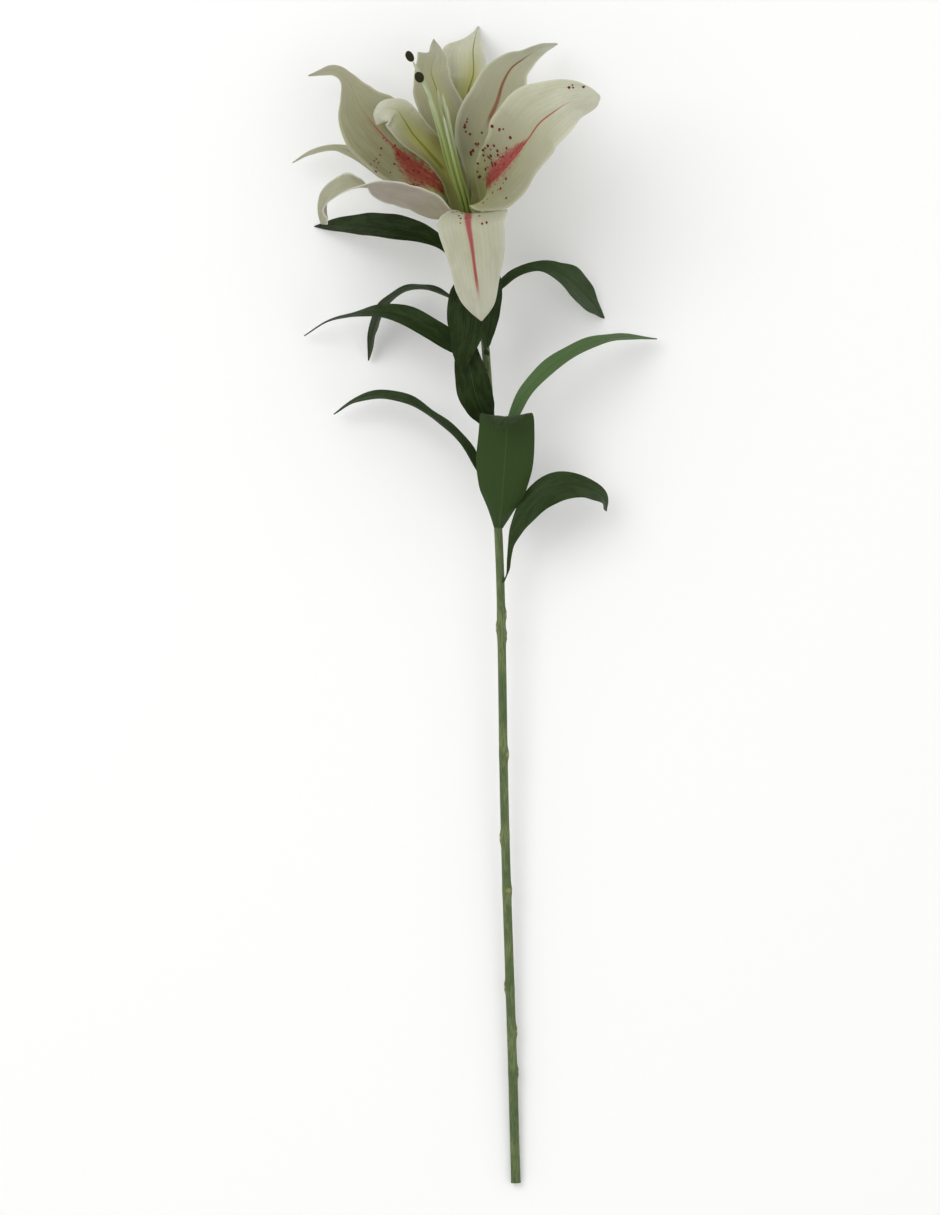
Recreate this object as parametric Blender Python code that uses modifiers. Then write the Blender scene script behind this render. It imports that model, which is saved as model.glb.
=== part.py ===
"""A cut lily stem lying on a table: an open flower of nine tepals, eleven leaves, a bare lower stem.

The stem lies along Y with its cut end at -Y. The flower at +Y is turned up at about 38 degrees.
Lengths are in metres. The points that the stem, tepals and leaves pass through, and the widths,
tubes and waves in the two tables of blades, are in millimetres.
"""
import math

import bmesh
import bpy
import numpy as np
from mathutils import Vector

MM = 0.001

# Stem, from the cut end to just below the flower
STEM_END_RADIUS = 0.0029
STEM_RADIUS = 0.0026
STEM_NECK_RADIUS = 0.0024
CUT_FLARE = 0.0002
CUT_FLARE_LENGTH = 0.002
STEM_POINTS = ((25, -353, 3.05), (24, -318, 4.6), (23, -281, 6.6), (21, -220, 10), (19, -159, 14),
               (17.5, -98, 18), (16.5, -34, 22.5), (15, 27, 27), (12, 81, 30.5), (9, 120, 32.5),
               (6, 160, 34), (3.2, 188, 35))
STEM_RINGS = 74
SCAR_HEIGHT = 0.0011
SCAR_LENGTH = 0.0035
# Leaf scars: the place along the stem (mm) and the side they are on (0 up, 90 right, -90 left)
SCARS = ((-14, -80), (-6, 75), (-19, 95), (-91, 60), (-142, -75), (-174, 20), (-233, -80),
         (-260, 80), (-285, 85))

# Flower: where its base sits, which way it looks, and the tube that the tepal bases make
FLOWER_BASE = np.array([-0.6, 217.2, 46.0]) * MM
FLOWER_AXIS = np.array([-0.158, 0.772, 0.616])
FLOWER_RIGHT = np.array([0.980, 0.200, 0.0])
TUBE_RADIUS = 0.0050
TUBE_FLARE = 0.25
LAYER_STEP = 0.00125
RECEPTACLE_RADIUS = 0.0096
RECEPTACLE_LENGTH = 0.012
RECEPTACLE_RINGS = 7
SEAT_GAP = 0.0003

# Blades
TEPAL_THICKNESS = 0.0008
LEAF_THICKNESS = 0.0008
TEPAL_ROWS, TEPAL_COLUMNS = 20, 9
LEAF_ROWS, LEAF_COLUMNS = 15, 5
MIDRIB_DEPTH = 0.0005
MIDRIB_SHARE = 0.2
FREEING_LENGTH = 0.030
WAVES_PER_TEPAL = 2.2
TEPAL_START = 0.0004
LEAF_SEAT = 0.0010

# Stamens, style and what they carry
OVARY_RADIUS = 0.0026
OVARY_LENGTH = 0.020
OVARY_PROFILE = (0.8, 1.0, 1.0, 1.0, 0.85, 0.45)
STYLE_RADIUS = 0.0013
FILAMENT_RADIUS = 0.0011
FILAMENT_RING = 0.0025
BUNDLE_HEIGHTS = (0.005, 0.017, 0.030)
STRAND_RINGS = 12
STRAND_TAPER = (1.05, 0.8)
STIGMA_SIZE = (0.0050, 0.0050, 0.0070)
ANTHER_SIZE = (0.0054, 0.0050, 0.0068)

# Colours (linear) and roughness
STEM_GREEN = (0.10, 0.16, 0.05, 1)
LEAF_GREEN = (0.03, 0.08, 0.03, 1)
TEPAL_CREAM = (0.72, 0.72, 0.58, 1)
FILAMENT_GREEN = (0.35, 0.48, 0.16, 1)
KNOB_BROWN = (0.03, 0.02, 0.015, 1)

FLOWER_AXIS = FLOWER_AXIS / np.linalg.norm(FLOWER_AXIS)
FLOWER_RIGHT = FLOWER_RIGHT / np.linalg.norm(FLOWER_RIGHT)
FLOWER_BACK = np.cross(FLOWER_AXIS, FLOWER_RIGHT)

# The outline that most leaves have, as share of the length and share of the half width, and how far
# their halves are raised from flat, as share of the length and degrees
LEAF_OUTLINE = ((0, .3), (.12, .42), (.3, .78), (.48, 1), (.65, .93), (.8, .68), (.92, .34),
                (.97, .18), (1, .03))
LEAF_CUP = ((0, 30), (.4, 22), (1, 12))

# Each tepal. Its base stands at an angle round the flower's axis (0 in front, 90 right), on a layer
# of the tube that the bases make, and stays in the tube for a length. waves are the height and the
# phase of the waves of its edges. midrib has the points that it passes through past the tube. faces
# says where its inner face looks at a share of its length. outline has the share of the half width
# at a share of the length, skew how much wider the half on its left is, seen from inside with the
# tip up, and cup how far its halves are raised from flat in degrees.
TEPALS = {
    "tepal_front": dict(
        angle=0, layer=1, tube=30, width=43, waves=(1.2, 0.5),
        midrib=((-3, 231, 88), (-4, 233, 101), (-4, 226, 112), (-2, 214, 112), (0, 199, 106),
                (2, 185, 97), (4, 170, 83)),
        faces=((0.36, (0, 0.7, 0.5)), (0.5, (0, 0.2, 1)), (0.7, (0, -0.1, 1)), (1, (0, -0.4, 1))),
        outline=((0, 0.16), (0.12, 0.22), (0.2, 0.26), (0.28, 0.44), (0.4, 0.82), (0.5, 0.94),
                 (0.6, 0.89), (0.7, 0.8), (0.8, 0.68), (0.9, 0.53), (0.96, 0.3), (1, 0.03)),
        skew=((0, 0), (0.12, 0.1), (0.2, 0.42), (0.28, 0.48), (0.42, 0.28), (0.52, 0.08),
              (0.7, 0.1), (0.85, -0.05), (1, -0.1)),
        cup=((0, 30), (0.4, 15), (0.55, -15), (0.8, -35), (1, -40))),
    "tepal_right": dict(
        angle=75, layer=0, tube=42, width=46, waves=(2, 0.7),
        midrib=((14, 257, 90), (23, 266, 104), (32, 277, 116), (38, 285, 124), (46, 291, 130),
                (56, 297, 133), (74, 301, 125)),
        faces=((0.42, (-0.5, 0.1, 0.8)), (0.6, (-0.25, 0.1, 0.9)), (0.85, (-0.1, 0.1, 1)),
               (1, (0.2, 0.3, 0.9))),
        outline=((0, 0.16), (0.12, 0.34), (0.3, 0.84), (0.42, 1), (0.5, 1), (0.7, 0.98),
                 (0.8, 0.8), (0.9, 0.5), (0.95, 0.36), (0.98, 0.24), (1, 0.04)),
        skew=((0, 0), (0.2, -0.08), (0.29, -0.16), (0.36, -0.1), (0.42, -0.18), (0.48, -0.12),
              (0.6, 0.13), (0.85, 0.1), (1, 0)),
        cup=((0, 30), (0.35, 33), (0.6, 24), (0.8, 5), (1, -20))),
    "tepal_back_right": dict(
        angle=122, layer=1, tube=42, width=42, waves=(1.2, 1.7),
        midrib=((7, 273, 66), (8, 289, 68), (13, 301, 68), (17, 314, 65), (22, 323, 59),
                (29, 329, 50), (38, 336, 36), (50, 341, 18)),
        faces=((0.5, (-0.1, -0.1, 0.9)), (0.7, (0, 0.1, 1)), (0.85, (0.3, 0.3, 0.8)),
               (1, (0.3, 0.5, 0.8))),
        outline=((0, 0.16), (0.12, 0.28), (0.28, 0.7), (0.4, 0.93), (0.5, 0.9), (0.6, 0.75),
                 (0.7, 0.47), (0.78, 0.3), (0.86, 0.22), (0.94, 0.12), (1, 0.03)),
        skew=((0, 0), (0.65, 0), (0.75, -0.15), (0.85, -0.3), (1, 0)),
        cup=((0, 30), (0.35, 30), (0.6, 20), (0.75, 45), (0.86, 60), (1, 40))),
    "tepal_back": dict(
        angle=155, layer=4, tube=42, width=36, waves=(1.5, 0.3),
        midrib=((-4, 280, 49), (-5, 296, 44), (-4, 310, 40), (-1, 321, 35), (-1, 338, 21),
                (2, 353, 0.5)),
        faces=((0.5, (-0.1, 0, 1)), (0.8, (-0.45, 0.3, 0.9)), (1, (-0.3, 0.3, 0.9))),
        outline=((0, 0.14), (0.12, 0.26), (0.28, 0.55), (0.42, 0.85), (0.55, 0.95), (0.65, 0.85),
                 (0.8, 0.8), (0.86, 0.66), (0.9, 0.32), (0.95, 0.13), (1, 0.03)),
        skew=((0, 0), (0.5, 0), (0.7, 0.33), (0.86, 0.45), (0.91, 0.2), (1, 0)),
        cup=((0, 30), (0.35, 25), (0.6, 25), (0.8, 35), (1, 20))),
    "tepal_back_left": dict(
        angle=185, layer=2, tube=42, width=30, waves=(1.2, 2.3),
        midrib=((-14, 277, 55), (-19, 297, 54), (-23.5, 312, 51), (-26.5, 322, 46),
                (-24, 332, 38), (-25, 343, 26)),
        faces=((0.5, (0, 0, 1)), (1, (0.1, 0.3, 0.9))),
        outline=((0, 0.14), (0.12, 0.26), (0.28, 0.55), (0.42, 0.85), (0.55, 0.95), (0.65, 0.9),
                 (0.75, 0.77), (0.8, 0.7), (0.86, 0.66), (0.9, 0.32), (0.95, 0.2), (1, 0.03)),
        skew=((0, 0), (0.6, 0.05), (0.7, 0.17), (0.8, -0.08), (0.86, 0.12), (0.9, -0.1), (1, 0)),
        cup=((0, 30), (0.35, 25), (0.6, 20), (0.8, 15), (1, 10))),
    "tepal_inner_left": dict(
        angle=207, layer=-0.8, tube=42, width=30, waves=(1, 2.3),
        midrib=((-28, 272, 71), (-37, 282, 76), (-43, 291, 82), (-47, 296, 85), (-53, 297, 85),
                (-58, 293, 81), (-59, 288, 76)),
        faces=((0.5, (0.35, -0.15, 0.9)), (0.8, (0, 0.3, 1)), (1, (-0.4, 0.2, 0.8))),
        outline=((0, 0.18), (0.12, 0.32), (0.3, 0.54), (0.4, 0.57), (0.5, 0.58), (0.6, 0.65),
                 (0.7, 0.71), (0.8, 0.68), (0.86, 0.5), (0.93, 0.42), (0.97, 0.3), (1, 0.05)),
        skew=((0, 0), (0.3, -0.17), (0.42, -0.33), (0.5, -0.34), (0.6, -0.16), (0.7, 0),
              (0.86, 0.15), (1, 0)),
        cup=((0, 30), (0.35, 45), (0.6, 35), (0.75, 5), (0.85, -22), (1, -30))),
    "tepal_left": dict(
        angle=228, layer=1, tube=42, width=50, waves=(1.5, 1),
        midrib=((-33, 263, 64), (-46, 273, 65), (-58, 285, 65), (-67, 297, 63), (-72, 307, 58),
                (-77, 317, 50), (-85, 323, 40), (-101, 321, 27)),
        faces=((0.5, (0.3, -0.1, 0.9)), (0.75, (0.1, 0, 1)), (1, (-0.3, 0.5, 0.8))),
        outline=((0, 0.14), (0.12, 0.22), (0.25, 0.44), (0.35, 0.8), (0.42, 0.9), (0.55, 0.9),
                 (0.62, 0.76), (0.7, 0.44), (0.76, 0.25), (0.82, 0.16), (0.9, 0.15), (0.95, 0.09),
                 (1, 0.02)),
        skew=((0, 0), (1, 0)),
        cup=((0, 30), (0.35, 35), (0.6, 20), (0.8, 20), (1, 20))),
    "tepal_outer_left": dict(
        angle=262, layer=3, tube=24, width=28, waves=(1, 1),
        midrib=((-26, 242, 56), (-38, 252, 50), (-54, 263, 44), (-67, 271, 40), (-77, 275, 36),
                (-86, 277, 31), (-100, 274.5, 23), (-111, 269, 14)),
        faces=((0.5, (0.2, 0.3, 0.9)), (0.75, (0, 0.5, 0.85)), (1, (-0.3, 0.5, 0.8))),
        outline=((0, 0.14), (0.12, 0.25), (0.28, 0.5), (0.4, 0.7), (0.5, 0.6), (0.6, 0.44),
                 (0.7, 0.27), (0.77, 0.17), (0.86, 0.16), (0.95, 0.08), (1, 0.02)),
        skew=((0, 0), (1, 0)),
        cup=((0, 30), (0.35, 25), (0.6, 15), (0.8, 10), (1, 0))),
    "tepal_front_left": dict(
        angle=318, layer=0, tube=28, width=40, waves=(1, 1),
        midrib=((-20, 233, 78), (-28, 239.5, 87), (-38, 243, 96), (-47, 245, 102),
                (-56, 247.5, 107), (-65, 248.5, 110), (-74, 248.3, 111), (-82, 246.5, 109),
                (-88, 242, 103), (-91, 235, 95), (-92, 228, 86)),
        faces=((0.3, (-0.1, 0.9, -0.4)), (0.55, (-0.1, 0.95, -0.28)), (0.65, (-0.1, 1, 0)),
               (0.75, (-0.1, 0.9, 0.37)), (0.85, (-0.3, 0.6, 0.7)), (1, (-0.5, 0.1, 0.85))),
        outline=((0, 0.16), (0.12, 0.26), (0.25, 0.5), (0.35, 0.6), (0.45, 0.66), (0.6, 0.85),
                 (0.75, 0.85), (0.84, 0.74), (0.92, 0.5), (0.97, 0.28), (1, 0.04)),
        skew=((0, 0), (0.12, -0.1), (0.22, -0.2), (0.45, -0.25), (0.6, -0.15), (0.75, 0), (1, 0)),
        cup=((0, 30), (0.35, 14), (0.55, 14), (0.66, 26), (0.74, 20), (0.85, 0), (1, -10))),
}

# Each leaf: where its foot is along the stem and which way it leaves it (x, z), then as for a tepal
LEAVES = {
    "leaf_01": dict(
        foot=196, out=(-1, 0.1), width=19,
        midrib=((-10, 206, 40), (-17, 216, 42), (-31, 223.8, 46), (-45, 227.2, 46), (-59, 229.3, 40),
                (-79, 231, 22), (-98, 231, 0.4)),
        faces=((0.2, (0, 0, 1)), (0.5, (0.1, 0.35, 0.9)), (1, (-0.3, 0.3, 0.9))),
        outline=((0, 0.3), (0.12, 0.33), (0.25, 0.42), (0.38, 0.72), (0.5, 0.88), (0.6, 0.86),
                 (0.7, 0.72), (0.85, 0.45), (0.93, 0.25), (1, 0.03))),
    "leaf_02": dict(
        foot=182, out=(0.85, 0.5), width=23.5,
        midrib=((14, 191, 43), (25, 200, 48), (39, 204, 47), (53, 199, 38), (67, 188, 20),
                (79, 175, 0.4)),
        faces=((0.15, (-0.5, 0.2, 0.8)), (0.25, (-0.5, 0.5, 0.7)), (0.42, (0, 0.6, 0.8)),
               (0.6, (0.3, 0.4, 0.85)), (1, (0.4, 0.4, 0.8))),
        outline=((0, 0.22), (0.12, 0.32), (0.22, 0.32), (0.36, 0.32), (0.5, 0.62), (0.68, 1),
                 (0.8, 0.8), (0.9, 0.45), (0.96, 0.22), (1, 0.03))),
    "leaf_03": dict(
        foot=150, out=(0.2, 1), width=11,
        midrib=((7.5, 163, 45), (9.5, 175, 50), (11.5, 185, 51.5), (13, 195, 52.5), (13, 204, 54)),
        faces=((0.2, (0.4, 0, 0.9)), (1, (0.3, -0.2, 0.9)))),
    "leaf_04": dict(
        foot=176, out=(-0.85, 0.5), width=19,
        midrib=((-8, 182, 42), (-18, 187, 45), (-30, 191, 44), (-42, 190, 40), (-53, 182, 32),
                (-61, 169, 19), (-65, 149, 4)),
        faces=((0.15, (0, 1, 0.3)), (0.4, (0, 1, 0.05)), (0.52, (-0.3, 0.9, 0.3)),
               (0.68, (-0.7, 0.4, 0.6)), (1, (-0.7, 0.3, 0.7)))),
    "leaf_05": dict(
        foot=141, out=(-0.8, 0.6), width=18,
        midrib=((-3, 150, 44), (-14, 158, 50), (-27, 166, 54), (-42, 174, 53), (-57, 177, 48),
                (-76, 175, 34), (-90, 172, 20), (-104, 164, 6)),
        faces=((0.15, (0, 0.3, 0.9)), (0.4, (0, 0.45, 0.9)), (0.7, (0, 0.8, 0.55)),
               (1, (-0.3, 0.9, 0.4))),
        outline=((0, 0.25), (0.12, 0.5), (0.28, 0.82), (0.42, 0.8), (0.58, 0.6), (0.7, 0.38),
                 (0.82, 0.24), (0.92, 0.17), (1, 0.03))),
    "leaf_06": dict(
        foot=190, out=(0, 1), width=26,
        midrib=((2, 190, 52), (1, 190, 62), (-2, 186, 70), (-4, 177, 73), (-5, 165, 72),
                (-7, 153, 69), (-8, 140, 62)),
        faces=((0.2, (0, 0.8, 0.5)), (0.4, (0, 0.1, 1)), (1, (0, -0.2, 1))),
        outline=((0, 0.2), (0.12, 0.35), (0.3, 0.7), (0.45, 1), (0.6, 0.95), (0.75, 0.7),
                 (0.9, 0.38), (0.97, 0.2), (1, 0.03)),
        cup=((0, 20), (0.4, 10), (1, -10))),
    "leaf_07": dict(
        foot=106, out=(-0.4, 0.9), width=23,
        midrib=((3.5, 119, 46), (0, 128, 52), (-2, 137, 56), (-4, 146, 58), (-5, 156, 58),
                (-5, 166, 57)),
        faces=((0.15, (0, -0.2, 1)), (1, (-0.1, 0.1, 1))),
        outline=((0, 0.22), (0.12, 0.42), (0.3, 0.8), (0.48, 0.94), (0.65, 0.82), (0.8, 0.62),
                 (0.92, 0.34), (0.97, 0.18), (1, 0.03))),
    "leaf_08": dict(
        foot=86, out=(0.7, 0.7), width=13,
        midrib=((19, 102, 40), (24.5, 116, 46), (31, 128.5, 50), (43.5, 142, 50), (56, 151, 46),
                (71, 158.5, 38), (89, 162.3, 24), (111, 162, 8)),
        faces=((0.15, (-0.3, 0.2, 0.9)), (0.4, (-0.4, 0.4, 0.8)), (0.7, (-0.2, 0.7, 0.65)),
               (1, (0, 0.9, 0.4))),
        outline=((0, 0.3), (0.12, 0.42), (0.3, 0.72), (0.48, 0.9), (0.65, 0.86), (0.8, 0.78),
                 (0.92, 0.5), (0.97, 0.25), (1, 0.03))),
    "leaf_09": dict(
        foot=66, out=(-0.8, 0.6), width=13,
        midrib=((4, 79, 36), (-4, 94, 41), (-14, 105, 43), (-27, 115, 41), (-42, 124, 36),
                (-59, 127, 27), (-73, 124, 19), (-86, 116, 10)),
        faces=((0.15, (0.2, 0.2, 0.9)), (0.27, (0.5, 0.6, 0.55)), (0.46, (0.6, 0.75, 0.22)),
               (0.56, (0.45, 0.8, 0.4)), (0.7, (0, 0.75, 0.65)), (1, (-0.4, 0.8, 0.5)))),
    "leaf_10": dict(
        foot=46, out=(0.2, 1), width=36,
        midrib=((16, 58, 42), (17, 72, 51), (18, 87, 57), (19, 101, 61), (19, 110, 65),
                (18, 113, 72), (16, 110, 81), (13, 104, 90)),
        faces=((0.15, (0, 0.1, -1)), (0.62, (0, 0.2, -1)), (0.75, (0, 1, -0.3)),
               (0.84, (0, 1, 0.2)), (1, (0.1, 0.8, 0.5))),
        outline=((0, 0.16), (0.12, 0.42), (0.3, 0.85), (0.48, 1), (0.65, 0.95), (0.76, 0.9),
                 (0.86, 0.6), (0.94, 0.3), (1, 0.03)),
        cup=((0, 35), (0.4, 30), (0.75, 15), (1, 5))),
    "leaf_11": dict(
        foot=12, out=(0.8, 0.6), width=24,
        midrib=((20, 20, 30.5), (20.8, 28, 34), (22.5, 38, 37.5), (28.5, 51, 41), (39, 64, 44),
                (50, 70.5, 45), (62, 71.5, 42), (71, 69, 35), (78, 65, 26), (80, 57, 16)),
        faces=((0.15, (-0.2, 0.2, 0.9)), (0.4, (-0.4, 0.4, 0.8)), (0.7, (0.1, 0.5, 0.85)),
               (0.88, (0.6, 0.3, 0.7)), (1, (0.7, 0.1, 0.7))),
        outline=((0, 0.12), (0.1, 0.11), (0.2, 0.15), (0.3, 0.4), (0.42, 0.7), (0.55, 0.9),
                 (0.68, 0.75), (0.8, 0.55), (0.88, 0.42), (0.95, 0.3), (1, 0.03))),
}

# The points that the style and the six filaments pass through past the ovary (mm). Each filament has
# first the side of the ovary that it stands on, in degrees round the flower's axis.
STYLE_POINTS = ((-13, 262, 76), (-21, 288, 88), (-29, 309, 96), (-37, 323.5, 100))
FILAMENTS = (
    (300, ((-14, 260, 82), (-21, 285, 97), (-27, 302, 105), (-31.5, 310.5, 108))),
    (240, ((-16, 262, 72), (-22.5, 286, 80), (-28, 304, 84))),
    (180, ((-13, 265, 71), (-18.5, 289, 80), (-22.5, 309, 83))),
    (120, ((-11, 265, 74), (-16, 288, 83), (-19.5, 306, 87))),
    (60, ((-9.5, 262, 79), (-14.5, 284, 88), (-17.5, 299, 93))),
    (0, ((-10.5, 258, 83), (-15.5, 277, 93), (-19, 292, 100))),
)


def unit(vectors):
    return vectors / np.linalg.norm(vectors, axis=-1, keepdims=True)


def smooth_line(points, count):
    """Evenly spaced points along a centripetal Catmull-Rom curve through the given ones."""
    points = np.asarray(points, dtype=float)
    padded = np.vstack((2 * points[0] - points[1], points, 2 * points[-1] - points[-2]))
    pieces = []
    for a, b, c, d in zip(padded, padded[1:], padded[2:], padded[3:]):
        t0 = 0.0
        t1 = t0 + math.sqrt(np.linalg.norm(b - a))
        t2 = t1 + math.sqrt(np.linalg.norm(c - b))
        t3 = t2 + math.sqrt(np.linalg.norm(d - c))
        t = np.linspace(t1, t2, 24, endpoint=False)[:, None]
        ab = ((t1 - t) * a + (t - t0) * b) / (t1 - t0)
        bc = ((t2 - t) * b + (t - t1) * c) / (t2 - t1)
        cd = ((t3 - t) * c + (t - t2) * d) / (t3 - t2)
        abc = ((t2 - t) * ab + (t - t0) * bc) / (t2 - t0)
        bcd = ((t3 - t) * bc + (t - t1) * cd) / (t3 - t1)
        pieces.append(((t2 - t) * abc + (t - t1) * bcd) / (t2 - t1))
    line = np.vstack(pieces + [points[-1:]])
    run = np.concatenate(([0.0], np.cumsum(np.linalg.norm(np.diff(line, axis=0), axis=1))))
    wanted = np.linspace(0, run[-1], count)
    return np.stack([np.interp(wanted, run, line[:, axis]) for axis in range(3)], axis=1), run[-1]


def eased(stations, share):
    """Smooth values at each share through (share, value) stations, with no overshoot."""
    x, y = np.array(stations, dtype=float).T
    step = np.diff(x)
    rise = np.diff(y) / step
    slope = np.zeros(len(x))
    slope[0], slope[-1] = rise[0], rise[-1]
    for i in range(1, len(x) - 1):
        if rise[i - 1] * rise[i] > 0:
            before = 2 * step[i] + step[i - 1]
            after = step[i] + 2 * step[i - 1]
            slope[i] = (before + after) / (before / rise[i - 1] + after / rise[i])
    i = np.clip(np.searchsorted(x, share, side="right") - 1, 0, len(step) - 1)
    u = (share - x[i]) / step[i]
    return (y[i] * (1 + 2 * u) * (1 - u) ** 2 + slope[i] * step[i] * u * (1 - u) ** 2
            + y[i + 1] * u ** 2 * (3 - 2 * u) + slope[i + 1] * step[i] * u ** 2 * (u - 1))


def turning_faces(line, faces):
    """Inner normal and sideways direction at each point of a midrib."""
    share = np.linspace(0, 1, len(line))
    tangent = unit(np.gradient(line, axis=0))
    places = [place for place, direction in faces]
    ways = np.array([unit(np.array(direction, dtype=float)) for place, direction in faces])
    normal = np.stack([np.interp(share, places, ways[:, axis]) for axis in range(3)], axis=1)
    for _ in range(3):
        normal[1:-1] = (normal[:-2] + 2 * normal[1:-1] + normal[2:]) / 4
    normal = unit(normal - (normal * tangent).sum(axis=1, keepdims=True) * tangent)
    return normal, np.cross(normal, tangent)


def blade_grid(line, normal, side, half, bend, columns, depth, wave=0.0):
    """Rows of points across a blade: arcs of half angle bend, with a midrib groove and edge waves."""
    across = np.linspace(-1, 1, columns)[None, :]
    bend = np.where(np.abs(bend) < 0.001, 0.001, bend)
    sideways = half * np.sin(bend * across) / bend
    lift = half * (1 - np.cos(bend * across)) / bend + wave
    lift = lift - depth * np.clip(1 - np.abs(across) / MIDRIB_SHARE, 0, 1)
    return line[:, None] + side[:, None] * sideways[..., None] + normal[:, None] * lift[..., None]


def radial(angle):
    turn = math.radians(angle)
    return FLOWER_RIGHT * math.sin(turn) + FLOWER_BACK * -math.cos(turn)


def tepal_grid(spec, rows, columns):
    """A tepal leaves the flower's base in the tube, on its layer, then follows its own midrib."""
    outward = radial(spec["angle"])
    tube = spec["tube"] * MM
    radius = TUBE_RADIUS + LAYER_STEP * spec["layer"]
    start = [FLOWER_BASE + FLOWER_AXIS * height + outward * (radius + TUBE_FLARE * height)
             for height in np.linspace(TEPAL_START, tube, 4)]
    points = start + [np.array(point) * MM for point in spec["midrib"]]
    line, length = smooth_line(points, rows)
    share = np.linspace(0, 1, rows)
    faces = ((0, -outward), (tube / length, -outward)) + spec["faces"]
    normal, side = turning_faces(line, faces)
    half = eased(spec["outline"], share)[:, None] * spec["width"] * MM / 2
    across = np.linspace(-1, 1, columns)[None, :]
    half_sides = half * (1 + np.sign(across) * eased(spec["skew"], share)[:, None])
    from_base = line - FLOWER_BASE
    along = (from_base @ FLOWER_AXIS)[:, None]
    from_axis = np.linalg.norm(from_base - along * FLOWER_AXIS, axis=1)[:, None]
    free = np.clip((share[:, None] * length - tube) / FREEING_LENGTH, 0, 1)
    free = free * free * (3 - 2 * free)
    cup = np.radians(eased(spec["cup"], share))[:, None]
    bend = half / from_axis * (1 - free) + cup * free
    height, phase = spec["waves"]
    turn = 2 * math.pi * WAVES_PER_TEPAL * share[:, None] + phase * across + 0.8 * np.sign(across)
    wave = height * MM * free * np.abs(across) ** 2.5 * np.minimum(1, half / 0.010) * np.sin(turn)
    depth = MIDRIB_DEPTH * free * np.minimum(1, half / 0.008)
    return blade_grid(line, normal, side, half_sides, bend, columns, depth, wave)


def stem_line(count):
    """Evenly spaced points from the cut end to the flower's base, and the length between them."""
    neck = [FLOWER_BASE - FLOWER_AXIS * RECEPTACLE_LENGTH, FLOWER_BASE - FLOWER_AXIS * SEAT_GAP]
    return smooth_line([np.array(point) * MM for point in STEM_POINTS] + neck, count)


def stem_at(height):
    """Centre and radius of the stem where it passes the given Y (mm)."""
    line, length = stem_line(400)
    centre = np.array([np.interp(height * MM, line[:, 1], line[:, axis]) for axis in range(3)])
    share = np.interp(height * MM, line[:, 1], np.linspace(0, 1, len(line)))
    return centre, stem_radius(share, length)


def stem_radius(share, length):
    """The stem thins towards the flower and flares at the cut and into the receptacle."""
    from_end = (1 - share) * length
    radius = np.interp(share, (0, .5, 1), (STEM_END_RADIUS, STEM_RADIUS, STEM_NECK_RADIUS))
    radius = radius + CUT_FLARE * np.exp(-share * length / CUT_FLARE_LENGTH)
    flare = np.clip(1 - from_end / RECEPTACLE_LENGTH, 0, 1)
    return radius + (RECEPTACLE_RADIUS - radius) * flare ** 1.5


def leaf_grid(spec, rows, columns):
    """A leaf leaves the stem's surface with its inner face to the stem, then follows its midrib."""
    centre, radius = stem_at(spec["foot"])
    out = unit(np.array([spec["out"][0], 0.0, spec["out"][1]]))
    foot = centre + out * (radius + LEAF_SEAT)
    points = [foot] + [np.array(point) * MM for point in spec["midrib"]]
    line, _ = smooth_line(points, rows)
    share = np.linspace(0, 1, rows)
    normal, side = turning_faces(line, ((0, (0, 1, 0)),) + spec["faces"])
    half = eased(spec.get("outline", LEAF_OUTLINE), share)[:, None] * spec["width"] * MM / 2
    bend = np.radians(eased(spec.get("cup", LEAF_CUP), share))[:, None]
    depth = MIDRIB_DEPTH * np.minimum(1, half / 0.006)
    return blade_grid(line, normal, side, half, bend, columns, depth)


def material(name, colour, roughness):
    made = bpy.data.materials.new(name)
    made.use_nodes = True
    shader = made.node_tree.nodes["Principled BSDF"]
    shader.inputs["Base Color"].default_value = colour
    shader.inputs["Roughness"].default_value = roughness
    return made


def add_object(name, mesh, collection):
    thing = bpy.data.objects.new(name, mesh)
    collection.objects.link(thing)
    return thing


def add_blade(name, grid, thickness, finish, collection):
    """An open sheet of quads that ends in one tip point, given its thickness by Solidify."""
    rows, columns = grid.shape[:2]
    sheet = bmesh.new()
    net = [[sheet.verts.new(point) for point in row] for row in grid[:-1]]
    tip = sheet.verts.new(grid[-1].mean(axis=0))
    for low, high in zip(net, net[1:]):
        for j in range(columns - 1):
            sheet.faces.new((low[j], low[j + 1], high[j + 1], high[j]))
    for j in range(columns - 1):
        sheet.faces.new((net[-1][j], net[-1][j + 1], tip))
    mesh = bpy.data.meshes.new(name)
    sheet.to_mesh(mesh)
    sheet.free()
    mesh.shade_smooth()
    mesh.materials.append(finish)
    blade = add_object(name, mesh, collection)
    blade.modifiers.new("Triangles", "TRIANGULATE")
    shell = blade.modifiers.new("Thickness", "SOLIDIFY")
    shell.thickness = thickness
    shell.offset = 0
    return blade


def strand(name, points, radii, collection, sides=2):
    """A tapering round strand: a poly curve with a radius at each point and filled caps."""
    curve = bpy.data.curves.new(name, "CURVE")
    curve.dimensions = "3D"
    curve.bevel_depth = 1
    curve.bevel_resolution = sides
    curve.use_fill_caps = True
    spline = curve.splines.new("POLY")
    spline.points.add(len(points) - 1)
    for node, point, radius in zip(spline.points, points, radii):
        node.co = (*point, 1)
        node.radius = radius
    return add_object(name, curve, collection)


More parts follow.
